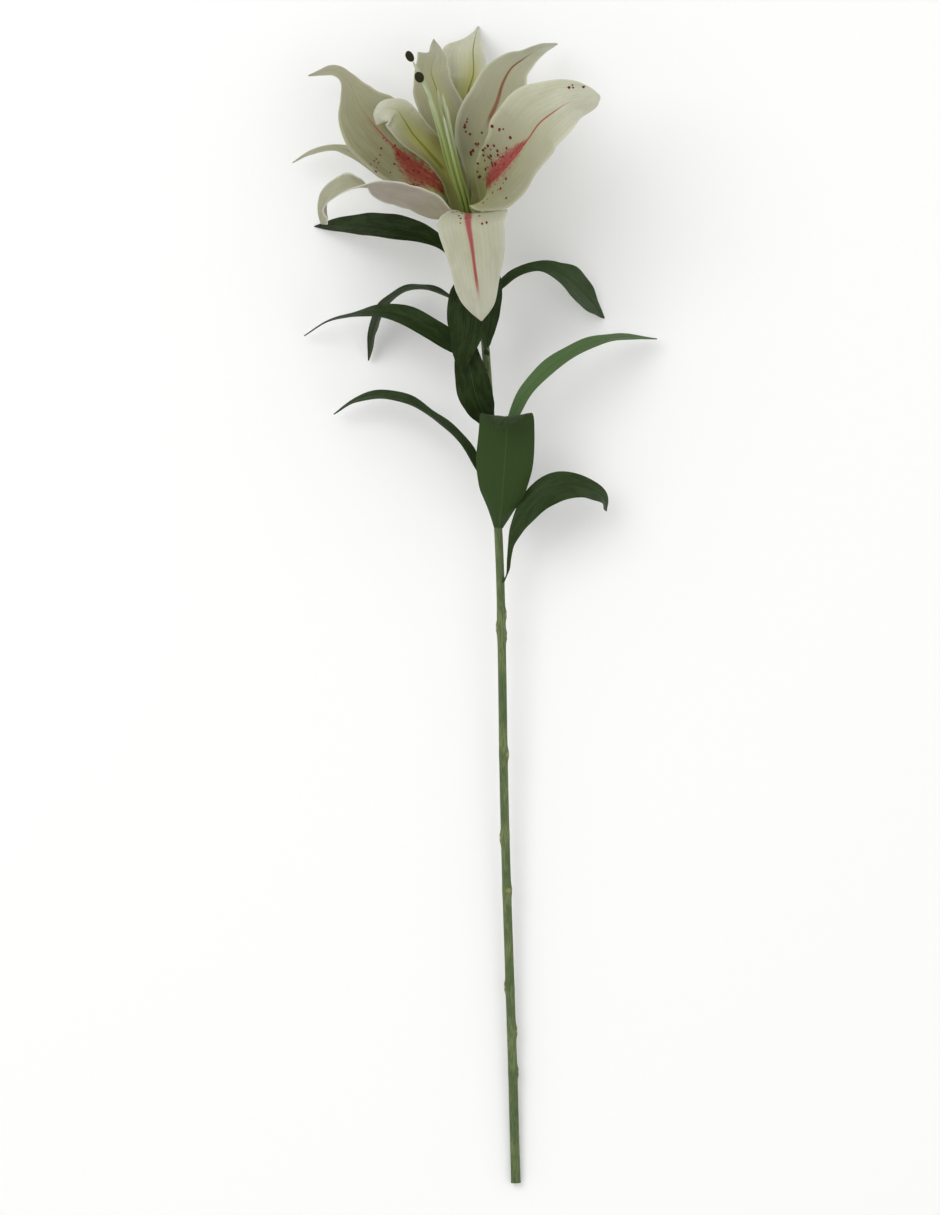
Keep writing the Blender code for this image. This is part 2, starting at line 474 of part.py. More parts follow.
def as_mesh(source, collection):
    """The evaluated curve as a mesh with its caps welded; the curve is removed."""
    name = source.name
    graph = bpy.context.evaluated_depsgraph_get()
    mesh = bpy.data.meshes.new_from_object(source.evaluated_get(graph))
    placed = source.matrix_world.copy()
    bpy.data.objects.remove(source)
    weld = bmesh.new()
    weld.from_mesh(mesh)
    bmesh.ops.remove_doubles(weld, verts=weld.verts, dist=0.00002)
    bmesh.ops.recalc_face_normals(weld, faces=weld.faces)
    weld.to_mesh(mesh)
    weld.free()
    mesh.shade_smooth()
    mesh.set_sharp_from_angle(angle=math.radians(50))
    made = add_object(name, mesh, collection)
    made.matrix_world = placed
    return made


def add_stem(finish, collection):
    """The stem with its receptacle, and a low scar wherever a leaf once grew."""
    fine, length = stem_line(2000)
    neck = 1 - RECEPTACLE_LENGTH / length * np.linspace(1, 0, RECEPTACLE_RINGS)
    share = np.linspace(0, 1, STEM_RINGS)
    share = np.concatenate((share[share < neck[0]], neck))
    places = np.linspace(0, 1, len(fine))
    line = np.stack([np.interp(share, places, fine[:, axis]) for axis in range(3)], axis=1)
    stem = as_mesh(strand("stem", line, stem_radius(share, length), collection, sides=3), collection)
    for height, turn in SCARS:
        centre, radius = stem_at(height)
        turn = math.radians(turn)
        spot = centre + radius * np.array([math.sin(turn), 0, math.cos(turn)])
        for vertex in stem.data.vertices:
            away = (vertex.co - Vector(spot)).length / SCAR_LENGTH
            outward = (vertex.co - Vector(centre)).normalized()
            vertex.co += outward * SCAR_HEIGHT * math.exp(-(away ** 2))
    stem.data.materials.append(finish)
    return stem


def add_stamens(finish, collection):
    """The ovary, the style and six filaments round it, joined into one body."""
    ovary_line = [FLOWER_BASE + FLOWER_AXIS * height
                  for height in np.linspace(SEAT_GAP, OVARY_LENGTH, len(OVARY_PROFILE))]
    ovary_radii = OVARY_RADIUS * np.array(OVARY_PROFILE)
    body = as_mesh(strand("stamens_and_style", ovary_line, ovary_radii, collection), collection)
    pieces = bpy.data.collections.new("strands")
    bpy.context.scene.collection.children.link(pieces)
    ways = [(0, 0, STYLE_POINTS, STYLE_RADIUS)]
    ways += [(FILAMENT_RING, turn, points, FILAMENT_RADIUS) for turn, points in FILAMENTS]
    for number, (ring, turn, points, radius) in enumerate(ways):
        start = [FLOWER_BASE + FLOWER_AXIS * height + radial(turn) * ring for height in BUNDLE_HEIGHTS]
        line, _ = smooth_line(start + [np.array(point) * MM for point in points], STRAND_RINGS)
        radii = radius * np.linspace(*STRAND_TAPER, STRAND_RINGS)
        as_mesh(strand("strand_%d" % number, line, radii, pieces), pieces)
    union = body.modifiers.new("Join", "BOOLEAN")
    union.operation = "UNION"
    union.operand_type = "COLLECTION"
    union.collection = pieces
    union.solver = "EXACT"
    graph = bpy.context.evaluated_depsgraph_get()
    joined = bpy.data.meshes.new_from_object(body.evaluated_get(graph))
    body.modifiers.clear()
    body.data = joined
    for one in list(pieces.objects):
        bpy.data.objects.remove(one)
    bpy.data.collections.remove(pieces)
    joined.materials.clear()
    joined.materials.append(finish)
    joined.shade_smooth()
    return body


def add_knob(name, strand_points, size, finish, collection):
    """A rounded dark knob that sits just off the end of its strand, in line with it."""
    before, tip = np.array(strand_points[-2:]) * MM
    way = unit(tip - before)
    ball = bmesh.new()
    bmesh.ops.create_uvsphere(ball, u_segments=10, v_segments=7, radius=0.5)
    bmesh.ops.scale(ball, verts=ball.verts, vec=size)
    mesh = bpy.data.meshes.new(name)
    ball.to_mesh(mesh)
    ball.free()
    mesh.shade_smooth()
    mesh.materials.append(finish)
    knob = add_object(name, mesh, collection)
    knob.location = tip + way * (size[2] / 2 + SEAT_GAP)
    knob.rotation_mode = "QUATERNION"
    knob.rotation_quaternion = Vector(way).to_track_quat("Z", "Y")
    return knob


def main():
    for thing in list(bpy.data.objects):
        bpy.data.objects.remove(thing)
    lily = bpy.data.collections.new("cut_lily")
    bpy.context.scene.collection.children.link(lily)
    add_stem(material("stem_green", STEM_GREEN, 0.55), lily)
    for name, spec in TEPALS.items():
        finish = material(name + "_cream", TEPAL_CREAM, 0.5)
        add_blade(name, tepal_grid(spec, TEPAL_ROWS, TEPAL_COLUMNS), TEPAL_THICKNESS, finish, lily)
    for name, spec in LEAVES.items():
        finish = material(name + "_green", LEAF_GREEN, 0.45)
        add_blade(name, leaf_grid(spec, LEAF_ROWS, LEAF_COLUMNS), LEAF_THICKNESS, finish, lily)
    add_stamens(material("filament_green", FILAMENT_GREEN, 0.5), lily)
    add_knob("stigma", STYLE_POINTS, STIGMA_SIZE, material("stigma_brown", KNOB_BROWN, 0.7), lily)
    anther_strand = FILAMENTS[0][1]
    add_knob("anther", anther_strand, ANTHER_SIZE, material("anther_brown", KNOB_BROWN, 0.7), lily)


main()
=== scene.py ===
# A cut lily lying on a pale table, seen from straight above. The frame holds its solids, and each
# section puts a finer piece in the place of one or more of them, from the cut end up to the flower.
import math

import bmesh
import bpy
import numpy as np
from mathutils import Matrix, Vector


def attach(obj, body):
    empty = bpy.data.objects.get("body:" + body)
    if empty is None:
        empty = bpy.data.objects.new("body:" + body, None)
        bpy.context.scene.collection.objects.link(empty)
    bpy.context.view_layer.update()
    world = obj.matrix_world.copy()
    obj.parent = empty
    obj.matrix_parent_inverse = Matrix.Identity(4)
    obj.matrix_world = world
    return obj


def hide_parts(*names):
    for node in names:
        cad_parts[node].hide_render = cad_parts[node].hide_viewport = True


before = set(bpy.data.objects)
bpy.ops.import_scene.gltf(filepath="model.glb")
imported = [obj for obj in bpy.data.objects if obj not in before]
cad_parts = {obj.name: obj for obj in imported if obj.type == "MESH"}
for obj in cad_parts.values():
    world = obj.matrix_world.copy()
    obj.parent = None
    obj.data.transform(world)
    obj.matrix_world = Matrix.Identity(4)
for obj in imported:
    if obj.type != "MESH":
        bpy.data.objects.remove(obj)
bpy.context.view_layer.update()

# Stem: a solid round green stalk, cut square at its lower end, that bows a little. It has low scars
# where leaves were stripped off, and widens at its upper end into the flower's receptacle.
MM = 0.001
CURVE_STEPS = 24
SAME_PLACE = 0.000001
STEM_END_RADIUS = 0.0029
STEM_RADIUS = 0.0026
STEM_NECK_RADIUS = 0.0024
CUT_FLARE = 0.0002
CUT_FLARE_LENGTH = 0.002
STEM_POINTS = ((25, -353, 3.05), (24, -318, 4.6), (23, -281, 6.6), (21, -220, 10), (19, -159, 14),
               (17.5, -98, 18), (16.5, -34, 22.5), (15, 27, 27), (12, 81, 30.5), (9, 120, 32.5),
               (6, 160, 34), (3.2, 188, 35))
STEM_RINGS, STEM_SIDES, STEM_SAMPLES = 900, 32, 400
STEM_RIBS, STEM_RIB_HEIGHT, STEM_RIB_TURN = 5, 0.00006, 4
# Scars: the place along the stem (mm) and the side they are on (0 up, 90 right, -90 left)
SCARS = ((-14, -80), (-6, 75), (-19, 95), (-91, 60), (-142, -75), (-174, 20), (-233, -80),
         (-260, 80), (-285, 85))
SCAR_HEIGHT, SCAR_LENGTH = 0.0011, 0.0035
SCAR_DENT, SCAR_DENT_LENGTH = 0.0005, 0.0011
SCAR_COLOUR_LENGTH = 0.0021
CUT_HOLLOW = 0.0006
CUT_RINGS = 6
FLOWER_BASE = np.array([-0.6, 217.2, 46.0]) * MM
FLOWER_AXIS = np.array([-0.158, 0.772, 0.616])
FLOWER_RIGHT = np.array([0.980, 0.200, 0.0])
RECEPTACLE_RADIUS = 0.0096
RECEPTACLE_LENGTH = 0.012
SEAT_GAP = 0.0003
FIBRE_RELIEF = 0.00008
STEM_GREEN = (0.085, 0.125, 0.042, 1)
STEM_PALE = (0.15, 0.19, 0.07, 1)
STEM_DARK = (0.045, 0.075, 0.025, 1)
SCAR_STRAW = (0.30, 0.27, 0.10, 1)
CUT_CREAM = (0.42, 0.46, 0.24, 1)


def unit(vectors):
    return vectors / np.linalg.norm(vectors, axis=-1, keepdims=True)


FLOWER_AXIS = unit(FLOWER_AXIS)
FLOWER_RIGHT = unit(FLOWER_RIGHT)
FLOWER_BACK = np.cross(FLOWER_AXIS, FLOWER_RIGHT)


def metres(points):
    """Points that are given in mm."""
    return np.array(points, dtype=float) * MM


def run_along(line):
    """How far along a line each of its points is."""
    return np.concatenate(([0.0], np.cumsum(np.linalg.norm(np.diff(line, axis=0), axis=1))))


def between(wanted, places, points):
    """The points at the wanted places, on straight lines between the given ones."""
    return np.stack([np.interp(wanted, places, points[:, axis]) for axis in range(3)], axis=-1)


def smooth_line(points, count):
    """Evenly spaced points along a smooth curve through the given ones, and its length. Its knots are
    set by the square roots of the gaps, so that it doesn't overshoot between uneven points."""
    points = np.asarray(points, dtype=float)
    padded = np.vstack((2 * points[0] - points[1], points, 2 * points[-1] - points[-2]))
    pieces = []
    for a, b, c, d in zip(padded, padded[1:], padded[2:], padded[3:]):
        t0 = 0.0
        t1 = t0 + math.sqrt(np.linalg.norm(b - a))
        t2 = t1 + math.sqrt(np.linalg.norm(c - b))
        t3 = t2 + math.sqrt(np.linalg.norm(d - c))
        t = np.linspace(t1, t2, CURVE_STEPS, endpoint=False)[:, None]
        ab = ((t1 - t) * a + (t - t0) * b) / (t1 - t0)
        bc = ((t2 - t) * b + (t - t1) * c) / (t2 - t1)
        cd = ((t3 - t) * c + (t - t2) * d) / (t3 - t2)
        abc = ((t2 - t) * ab + (t - t0) * bc) / (t2 - t0)
        bcd = ((t3 - t) * bc + (t - t1) * cd) / (t3 - t1)
        pieces.append(((t2 - t) * abc + (t - t1) * bcd) / (t2 - t1))
    line = np.vstack(pieces + [points[-1:]])
    run = run_along(line)
    return between(np.linspace(0, run[-1], count), run, line), run[-1]


def stem_line(count):
    """Evenly spaced points from the cut end to the flower's base, and the length between them."""
    neck = [FLOWER_BASE - FLOWER_AXIS * RECEPTACLE_LENGTH, FLOWER_BASE - FLOWER_AXIS * SEAT_GAP]
    return smooth_line([*metres(STEM_POINTS), *neck], count)


def stem_radius(share, length):
    """The stem thins towards the flower and flares at the cut and into the receptacle."""
    from_end = (1 - share) * length
    radius = np.interp(share, (0, 0.5, 1), (STEM_END_RADIUS, STEM_RADIUS, STEM_NECK_RADIUS))
    radius = radius + CUT_FLARE * np.exp(-share * length / CUT_FLARE_LENGTH)
    flare = np.clip(1 - from_end / RECEPTACLE_LENGTH, 0, 1)
    return radius + (RECEPTACLE_RADIUS - radius) * flare ** 1.5


def stem_at(height):
    """Centre and radius of the stem where it passes the given Y (mm)."""
    line, length = stem_line(STEM_SAMPLES)
    centre = between(height * MM, line[:, 1], line)
    share = np.interp(height * MM, line[:, 1], np.linspace(0, 1, len(line)))
    return centre, stem_radius(share, length)


def quads(rows, columns, closed=False, first=0):
    """Faces between rows of points; closed joins the last point of each row to its first."""
    row, column = np.meshgrid(np.arange(rows - 1), np.arange(columns - (not closed)), indexing="ij")
    after = (column + 1) % columns
    corners = (row * columns + column, row * columns + after,
               (row + 1) * columns + after, (row + 1) * columns + column)
    return (np.stack(corners, axis=-1).reshape(-1, 4) + first).tolist()


def turns(count):
    """Angles evenly round a circle."""
    return np.linspace(0, 2 * math.pi, count, endpoint=False)


def tube(line, radii, sides, reference):
    """Rings of points round a line, and the place of each: across and along its skin in mm."""
    tangent = unit(np.gradient(line, axis=0))
    right = unit(reference - (tangent @ reference)[:, None] * tangent)
    up = np.cross(right, tangent)
    turn = turns(sides)
    ways = right[:, None] * np.sin(turn)[:, None] + up[:, None] * np.cos(turn)[:, None]
    radii = np.broadcast_to(np.reshape(radii, (len(line), -1)), (len(line), sides))
    place = np.stack((np.sin(turn) * radii, np.cos(turn) * radii,
                      np.broadcast_to(run_along(line)[:, None], radii.shape)), axis=-1) / MM
    return line[:, None] + ways * radii[..., None], ways, place


def add_piece(name, points, faces, finish, crease=50, **fields):
    """A smooth mesh object, with each field kept on its points for the material to read. Points that
    fall together, as at the middle of a cut, become one."""
    mesh = bpy.data.meshes.new(name)
    mesh.from_pydata(points.reshape(-1, 3).tolist(), [], faces)
    for label, values in fields.items():
        vector = np.ndim(values) > 1
        layer = mesh.attributes.new(label, "FLOAT_VECTOR" if vector else "FLOAT", "POINT")
        values = np.ascontiguousarray(values, dtype=np.float32).ravel()
        layer.data.foreach_set("vector" if vector else "value", values)
    shape = bmesh.new()
    shape.from_mesh(mesh)
    bmesh.ops.remove_doubles(shape, verts=shape.verts, dist=SAME_PLACE)
    shape.to_mesh(mesh)
    shape.free()
    mesh.shade_smooth()
    mesh.set_sharp_from_angle(angle=math.radians(crease))
    mesh.materials.append(finish)
    piece = bpy.data.objects.new(name, mesh)
    bpy.context.scene.collection.objects.link(piece)
    return piece


def place_node(tree, kind, feeds=(), **settings):
    """A node with its settings, and each named input fed by a socket or set to a value."""
    made = tree.nodes.new(kind)
    for name, value in settings.items():
        setattr(made, name, value)
    for name, value in dict(feeds).items():
        if isinstance(value, bpy.types.NodeSocket):
            tree.links.new(value, made.inputs[name])
        else:
            made.inputs[name].default_value = value
    return made


def maths(tree, operation, *values):
    return place_node(tree, "ShaderNodeMath", dict(enumerate(values)), operation=operation).outputs[0]


def times(tree, one, other):
    return maths(tree, "MULTIPLY", one, other)


def parts(tree, vector):
    """The X, Y and Z outputs of a vector."""
    return place_node(tree, "ShaderNodeSeparateXYZ", {"Vector": vector}).outputs


def ramp(tree, value, low, high, to_low=0.0, to_high=1.0):
    """value between low and high, eased, as to_low to to_high."""
    feeds = {"Value": value, "From Min": low, "From Max": high, "To Min": to_low, "To Max": to_high}
    made = place_node(tree, "ShaderNodeMapRange", feeds, interpolation_type="SMOOTHSTEP")
    return made.outputs["Result"]


def tint(tree, share, colour, over):
    """colour where share is 0, over where it is 1, through the RGBA sockets of a Mix node."""
    feeds = {0: share, 6: colour, 7: over}
    return place_node(tree, "ShaderNodeMix", feeds, data_type="RGBA").outputs[2]


def field(tree, name):
    return place_node(tree, "ShaderNodeAttribute", attribute_name=name).outputs["Vector"]


def new_group(name, sockets_in, sockets_out):
    """A shader node group with the given float or vector inputs and float outputs."""
    tree = bpy.data.node_groups.new(name, "ShaderNodeTree")
    for socket, default in sockets_in.items():
        kind = "NodeSocketVector" if default is None else "NodeSocketFloat"
        made = tree.interface.new_socket(socket, in_out="INPUT", socket_type=kind)
        if default is not None:
            made.default_value = default
    for socket in sockets_out:
        tree.interface.new_socket(socket, in_out="OUTPUT", socket_type="NodeSocketFloat")
    return tree, tree.nodes.new("NodeGroupInput").outputs, tree.nodes.new("NodeGroupOutput").inputs


def streak_group():
    """Grain that runs along a plant: noise drawn out along the third coordinate, in mm."""
    tree, given, out = new_group("Plant grain", {"Place": None, "Fineness": 1.0, "Stretch": 10.0},
                                 ("Grain",))
    along = maths(tree, "DIVIDE", given["Fineness"], given["Stretch"])
    size = place_node(tree, "ShaderNodeCombineXYZ",
                      {"X": given["Fineness"], "Y": given["Fineness"], "Z": along})
    drawn = place_node(tree, "ShaderNodeVectorMath", {0: given["Place"], 1: size.outputs[0]},
                       operation="MULTIPLY")
    noise = place_node(tree, "ShaderNodeTexNoise",
                       {"Vector": drawn.outputs[0], "Scale": 1.0, "Detail": 4.0, "Roughness": 0.6})
    tree.links.new(ramp(tree, noise.outputs["Fac"], 0.3, 0.7), out["Grain"])
    return tree


GRAIN = streak_group()


def grain(tree, fineness, stretch):
    """The plant grain at that fineness and stretch, on the piece's own places."""
    feeds = {"Place": field(tree, "place"), "Fineness": fineness, "Stretch": stretch}
    return place_node(tree, "ShaderNodeGroup", feeds, node_tree=GRAIN).outputs["Grain"]


def new_material(name, roughness, shine=0.5):
    """A material, its node tree and the inputs of its Principled shader."""
    made = bpy.data.materials.new(name)
    made.use_nodes = True
    shader = made.node_tree.nodes["Principled BSDF"]
    shader.inputs["Roughness"].default_value = roughness
    shader.inputs["Specular IOR Level"].default_value = shine
    return made, made.node_tree, shader.inputs


def join_skin(tree, shader, colour, roughness, height, depth):
    """Feeds a shader its colour, its roughness, and bump of that depth in metres from the height."""
    bump = place_node(tree, "ShaderNodeBump", {"Height": height, "Distance": depth, "Strength": 1.0})
    tree.links.new(colour, shader["Base Color"])
    tree.links.new(roughness, shader["Roughness"])
    tree.links.new(bump.outputs["Normal"], shader["Normal"])


def stem_finish():
    """Green skin with paler and darker streaks, straw scars and a pale fibrous cut."""
    made, tree, shader = new_material("stem_green", 0.55, shine=0.3)
    fibres = grain(tree, 2.2, 14.0)
    patches = grain(tree, 0.12, 3.0)
    colour = tint(tree, ramp(tree, patches, 0.2, 0.8), STEM_GREEN, STEM_PALE)
    colour = tint(tree, ramp(tree, fibres, 0.35, 0.8, 0.0, 0.6), colour, STEM_DARK)
    marks = parts(tree, field(tree, "marks"))
    colour = tint(tree, ramp(tree, marks["X"], 0.35, 0.9, 0.0, 0.75), colour, SCAR_STRAW)
    pith = tint(tree, grain(tree, 1.6, 1.0), CUT_CREAM, STEM_PALE)
    colour = tint(tree, marks["Y"], colour, pith)
    roughness = ramp(tree, fibres, 0.2, 0.9, 0.45, 0.65)
    join_skin(tree, shader, colour, roughness, fibres, FIBRE_RELIEF)
    return made


def add_stem():
    """The ribbed stalk with its scars, closed below by the hollow cut and above by the receptacle."""
    line, length = stem_line(STEM_RINGS)
    share = np.linspace(0, 1, STEM_RINGS)
    turn = turns(STEM_SIDES)
    ribs = STEM_RIB_HEIGHT * np.cos(STEM_RIBS * turn + STEM_RIB_TURN * share[:, None])
    points, ways, place = tube(line, stem_radius(share, length)[:, None] + ribs, STEM_SIDES,
                               np.array([1.0, 0.0, 0.0]))
    scarred = np.zeros(points.shape[:2])
    for height, side in SCARS:
        centre, radius = stem_at(height)
        side = math.radians(side)
        spot = centre + radius * np.array([math.sin(side), 0, math.cos(side)])
        away = np.linalg.norm(points - spot, axis=2)
        bump = np.exp(-(away / SCAR_LENGTH) ** 2)
        dent = np.exp(-(away / SCAR_DENT_LENGTH) ** 2)
        points = points + ways * (SCAR_HEIGHT * bump - SCAR_DENT * dent)[..., None]
        scarred = np.maximum(scarred, np.exp(-(away / SCAR_COLOUR_LENGTH) ** 2))
    shrink = np.linspace(1, 0, CUT_RINGS + 1)[1:]
    first, last = points[0], points[-1]
    inwards = unit(line[1] - line[0])
    cut = [line[0] + (first - line[0]) * size + inwards * CUT_HOLLOW * (1 - size ** 2)
           for size in shrink]
    top = [line[-1] + (last - line[-1]) * size for size in shrink]
    rings = np.concatenate((cut[::-1], points, top))
    extra = np.zeros((CUT_RINGS, STEM_SIDES))
    cut_place = np.stack([place[0] * [size, size, 1] for size in shrink])[::-1]
    top_place = np.stack([place[-1] * [size, size, 1] for size in shrink])
    marks = np.zeros(rings.shape)
    marks[..., 0] = np.concatenate((extra, scarred, extra))
    marks[:CUT_RINGS, :, 1] = 1
    return add_piece("stem_surface", rings, quads(len(rings), STEM_SIDES, closed=True), stem_finish(),
                     place=np.concatenate((cut_place, place, top_place)), marks=marks)


stem = add_stem()
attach(stem, "root")
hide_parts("stem")

# Leaves: eleven thin lance-shaped blades with parallel veins, each grown out of the stem at a narrow
# foot. Their upper face is dark and satin, the under face paler, and most arch over and hang.
LEAF_ROWS, LEAF_COLUMNS = 110, 33
# The rows of the solid leaf, because its faces were smoothed row by row and these follow it
PART_LEAF_ROWS = 15
LEAF_THICKNESS = 0.0007
EDGE_THINNING = 0.6
MIDRIB_DEPTH = 0.0005
MIDRIB_SHARE = 0.2
FOOT_SINK = 0.0012
LEAF_RIBS, LEAF_RIB_HEIGHT = 7, 0.00007
LEAF_WAVE, LEAF_WAVES, LEAF_SIDE_PHASE = 0.0004, 5, 1.3
# Below these half widths the ribs and the waves of a leaf fade
RIBBED_HALF, WAVED_HALF = 0.006, 0.008
SMOOTHING_ROUNDS = 3
# How far apart in mm the grain of a blade's two faces is read
FACES_APART = 9
BLADE_RELIEF = 0.00005
BLADE_CREASE = 70
LEAF_UPPER = (0.012, 0.021, 0.004, 1)
LEAF_FRESH = (0.092, 0.160, 0.060, 1)
LEAF_UNDER = (0.022, 0.042, 0.008, 1)
LEAF_VEIN = (0.034, 0.056, 0.014, 1)
LEAF_MIDRIB = (0.055, 0.088, 0.025, 1)
# How fresh a green a leaf has and how far its midrib shows, both from 0 to 1
LEAF_LOOKS = {
    "leaf_02": (0.22, 0.2), "leaf_03": (0.12, 0.8), "leaf_05": (0.08, 0.2), "leaf_07": (0.0, 0.7),
    "leaf_08": (1.0, 0.4), "leaf_09": (0.15, 0.3), "leaf_10": (0.15, 0.8), "leaf_11": (0.15, 0.3)}
PLAIN_LEAF = (0.0, 0.2)
LEAF_OUTLINE = ((0, 0.3), (0.12, 0.42), (0.3, 0.78), (0.48, 1), (0.65, 0.93), (0.8, 0.68),
                (0.92, 0.34), (0.97, 0.18), (1, 0.03))
LEAF_CUP = ((0, 30), (0.4, 22), (1, 12))
# Each leaf: where its foot is along the stem and which way it leaves it (x, z), the points that its
# midrib passes through, and where its inner face looks at a share of its length. outline has the
# share of the half width there, and cup how far the halves are raised from flat in degrees. Lengths
# are in mm.
LEAVES = {
    "leaf_01": dict(
        foot=196, out=(-1, 0.1), width=19,
        midrib=((-10, 206, 40), (-17, 216, 42), (-31, 223.8, 46), (-45, 227.2, 46), (-59, 229.3, 40),
                (-79, 231, 22), (-98, 231, 0.4)),
        faces=((0.2, (0, 0, 1)), (0.5, (0.1, 0.35, 0.9)), (1, (-0.3, 0.3, 0.9))),
        outline=((0, 0.3), (0.12, 0.33), (0.25, 0.42), (0.38, 0.72), (0.5, 0.88), (0.6, 0.86),
                 (0.7, 0.72), (0.85, 0.45), (0.93, 0.25), (1, 0.03))),
    "leaf_02": dict(
        foot=182, out=(0.85, 0.5), width=23.5,
        midrib=((14, 191, 43), (25, 200, 48), (39, 204, 47), (53, 199, 38), (67, 188, 20),
                (79, 175, 0.4)),
        faces=((0.15, (-0.5, 0.2, 0.8)), (0.25, (-0.5, 0.5, 0.7)), (0.42, (0, 0.6, 0.8)),
               (0.6, (0.3, 0.4, 0.85)), (1, (0.4, 0.4, 0.8))),
        outline=((0, 0.22), (0.12, 0.32), (0.22, 0.32), (0.36, 0.32), (0.5, 0.62), (0.68, 1),
                 (0.8, 0.8), (0.9, 0.45), (0.96, 0.22), (1, 0.03))),
    "leaf_03": dict(
        foot=150, out=(0.2, 1), width=11,
        midrib=((7.5, 163, 45), (9.5, 175, 50), (11.5, 185, 51.5), (13, 195, 52.5), (13, 204, 54)),
        faces=((0.2, (0.4, 0, 0.9)), (1, (0.3, -0.2, 0.9)))),
    "leaf_04": dict(
        foot=176, out=(-0.85, 0.5), width=19,
        midrib=((-8, 182, 42), (-18, 187, 45), (-30, 191, 44), (-42, 190, 40), (-53, 182, 32),
                (-61, 169, 19), (-65, 149, 4)),
        faces=((0.15, (0, 1, 0.3)), (0.4, (0, 1, 0.05)), (0.52, (-0.3, 0.9, 0.3)),
               (0.68, (-0.7, 0.4, 0.6)), (1, (-0.7, 0.3, 0.7)))),
    "leaf_05": dict(
        foot=141, out=(-0.8, 0.6), width=18,
        midrib=((-3, 150, 44), (-14, 158, 50), (-27, 166, 54), (-42, 174, 53), (-57, 177, 48),
                (-76, 175, 34), (-90, 172, 20), (-104, 164, 6)),
        faces=((0.15, (0, 0.3, 0.9)), (0.4, (0, 0.45, 0.9)), (0.7, (0, 0.8, 0.55)),
               (1, (-0.3, 0.9, 0.4))),
        outline=((0, 0.25), (0.12, 0.5), (0.28, 0.82), (0.42, 0.8), (0.58, 0.6), (0.7, 0.38),
                 (0.82, 0.24), (0.92, 0.17), (1, 0.03))),
    "leaf_06": dict(
        foot=190, out=(0, 1), width=26,
        midrib=((2, 190, 52), (1, 190, 62), (-2, 186, 70), (-4, 177, 73), (-5, 165, 72),
                (-7, 153, 69), (-8, 140, 62)),
        faces=((0.2, (0, 0.8, 0.5)), (0.4, (0, 0.1, 1)), (1, (0, -0.2, 1))),
        outline=((0, 0.2), (0.12, 0.35), (0.3, 0.7), (0.45, 1), (0.6, 0.95), (0.75, 0.7),
                 (0.9, 0.38), (0.97, 0.2), (1, 0.03)),
        cup=((0, 20), (0.4, 10), (1, -10))),
    "leaf_07": dict(
        foot=106, out=(-0.4, 0.9), width=23,
        midrib=((3.5, 119, 46), (0, 128, 52), (-2, 137, 56), (-4, 146, 58), (-5, 156, 58),
                (-5, 166, 57)),
        faces=((0.15, (0, -0.2, 1)), (1, (-0.1, 0.1, 1))),
        outline=((0, 0.22), (0.12, 0.42), (0.3, 0.8), (0.48, 0.94), (0.65, 0.82), (0.8, 0.62),
                 (0.92, 0.34), (0.97, 0.18), (1, 0.03))),
    "leaf_08": dict(
        foot=86, out=(0.7, 0.7), width=13,
        midrib=((19, 102, 40), (24.5, 116, 46), (31, 128.5, 50), (43.5, 142, 50), (56, 151, 46),
                (71, 158.5, 38), (89, 162.3, 24), (111, 162, 8)),
        faces=((0.15, (-0.3, 0.2, 0.9)), (0.4, (-0.4, 0.4, 0.8)), (0.7, (-0.2, 0.7, 0.65)),
               (1, (0, 0.9, 0.4))),
        outline=((0, 0.3), (0.12, 0.42), (0.3, 0.72), (0.48, 0.9), (0.65, 0.86), (0.8, 0.78),
                 (0.92, 0.5), (0.97, 0.25), (1, 0.03))),
    "leaf_09": dict(
        foot=66, out=(-0.8, 0.6), width=13,
        midrib=((4, 79, 36), (-4, 94, 41), (-14, 105, 43), (-27, 115, 41), (-42, 124, 36),
                (-59, 127, 27), (-73, 124, 19), (-86, 116, 10)),
        faces=((0.15, (0.2, 0.2, 0.9)), (0.27, (0.5, 0.6, 0.55)), (0.46, (0.6, 0.75, 0.22)),
               (0.56, (0.45, 0.8, 0.4)), (0.7, (0, 0.75, 0.65)), (1, (-0.4, 0.8, 0.5)))),
    "leaf_10": dict(
        foot=46, out=(0.2, 1), width=36,
        midrib=((16, 58, 42), (17, 72, 51), (18, 87, 57), (19, 101, 61), (19, 110, 65),
                (18, 113, 72), (16, 110, 81), (13, 104, 90)),
        faces=((0.15, (0, 0.1, -1)), (0.62, (0, 0.2, -1)), (0.75, (0, 1, -0.3)),
               (0.84, (0, 1, 0.2)), (1, (0.1, 0.8, 0.5))),
        outline=((0, 0.16), (0.12, 0.42), (0.3, 0.85), (0.48, 1), (0.65, 0.95), (0.76, 0.9),
                 (0.86, 0.6), (0.94, 0.3), (1, 0.03)),
        cup=((0, 35), (0.4, 30), (0.75, 15), (1, 5))),
    "leaf_11": dict(
        foot=12, out=(0.8, 0.6), width=24,
        midrib=((20, 20, 30.5), (20.8, 28, 34), (22.5, 38, 37.5), (28.5, 51, 41), (39, 64, 44),
                (50, 70.5, 45), (62, 71.5, 42), (71, 69, 35), (78, 65, 26), (80, 57, 16)),
        faces=((0.15, (-0.2, 0.2, 0.9)), (0.4, (-0.4, 0.4, 0.8)), (0.7, (0.1, 0.5, 0.85)),
               (0.88, (0.6, 0.3, 0.7)), (1, (0.7, 0.1, 0.7))),
        outline=((0, 0.12), (0.1, 0.11), (0.2, 0.15), (0.3, 0.4), (0.42, 0.7), (0.55, 0.9),
                 (0.68, 0.75), (0.8, 0.55), (0.88, 0.42), (0.95, 0.3), (1, 0.03))),
}


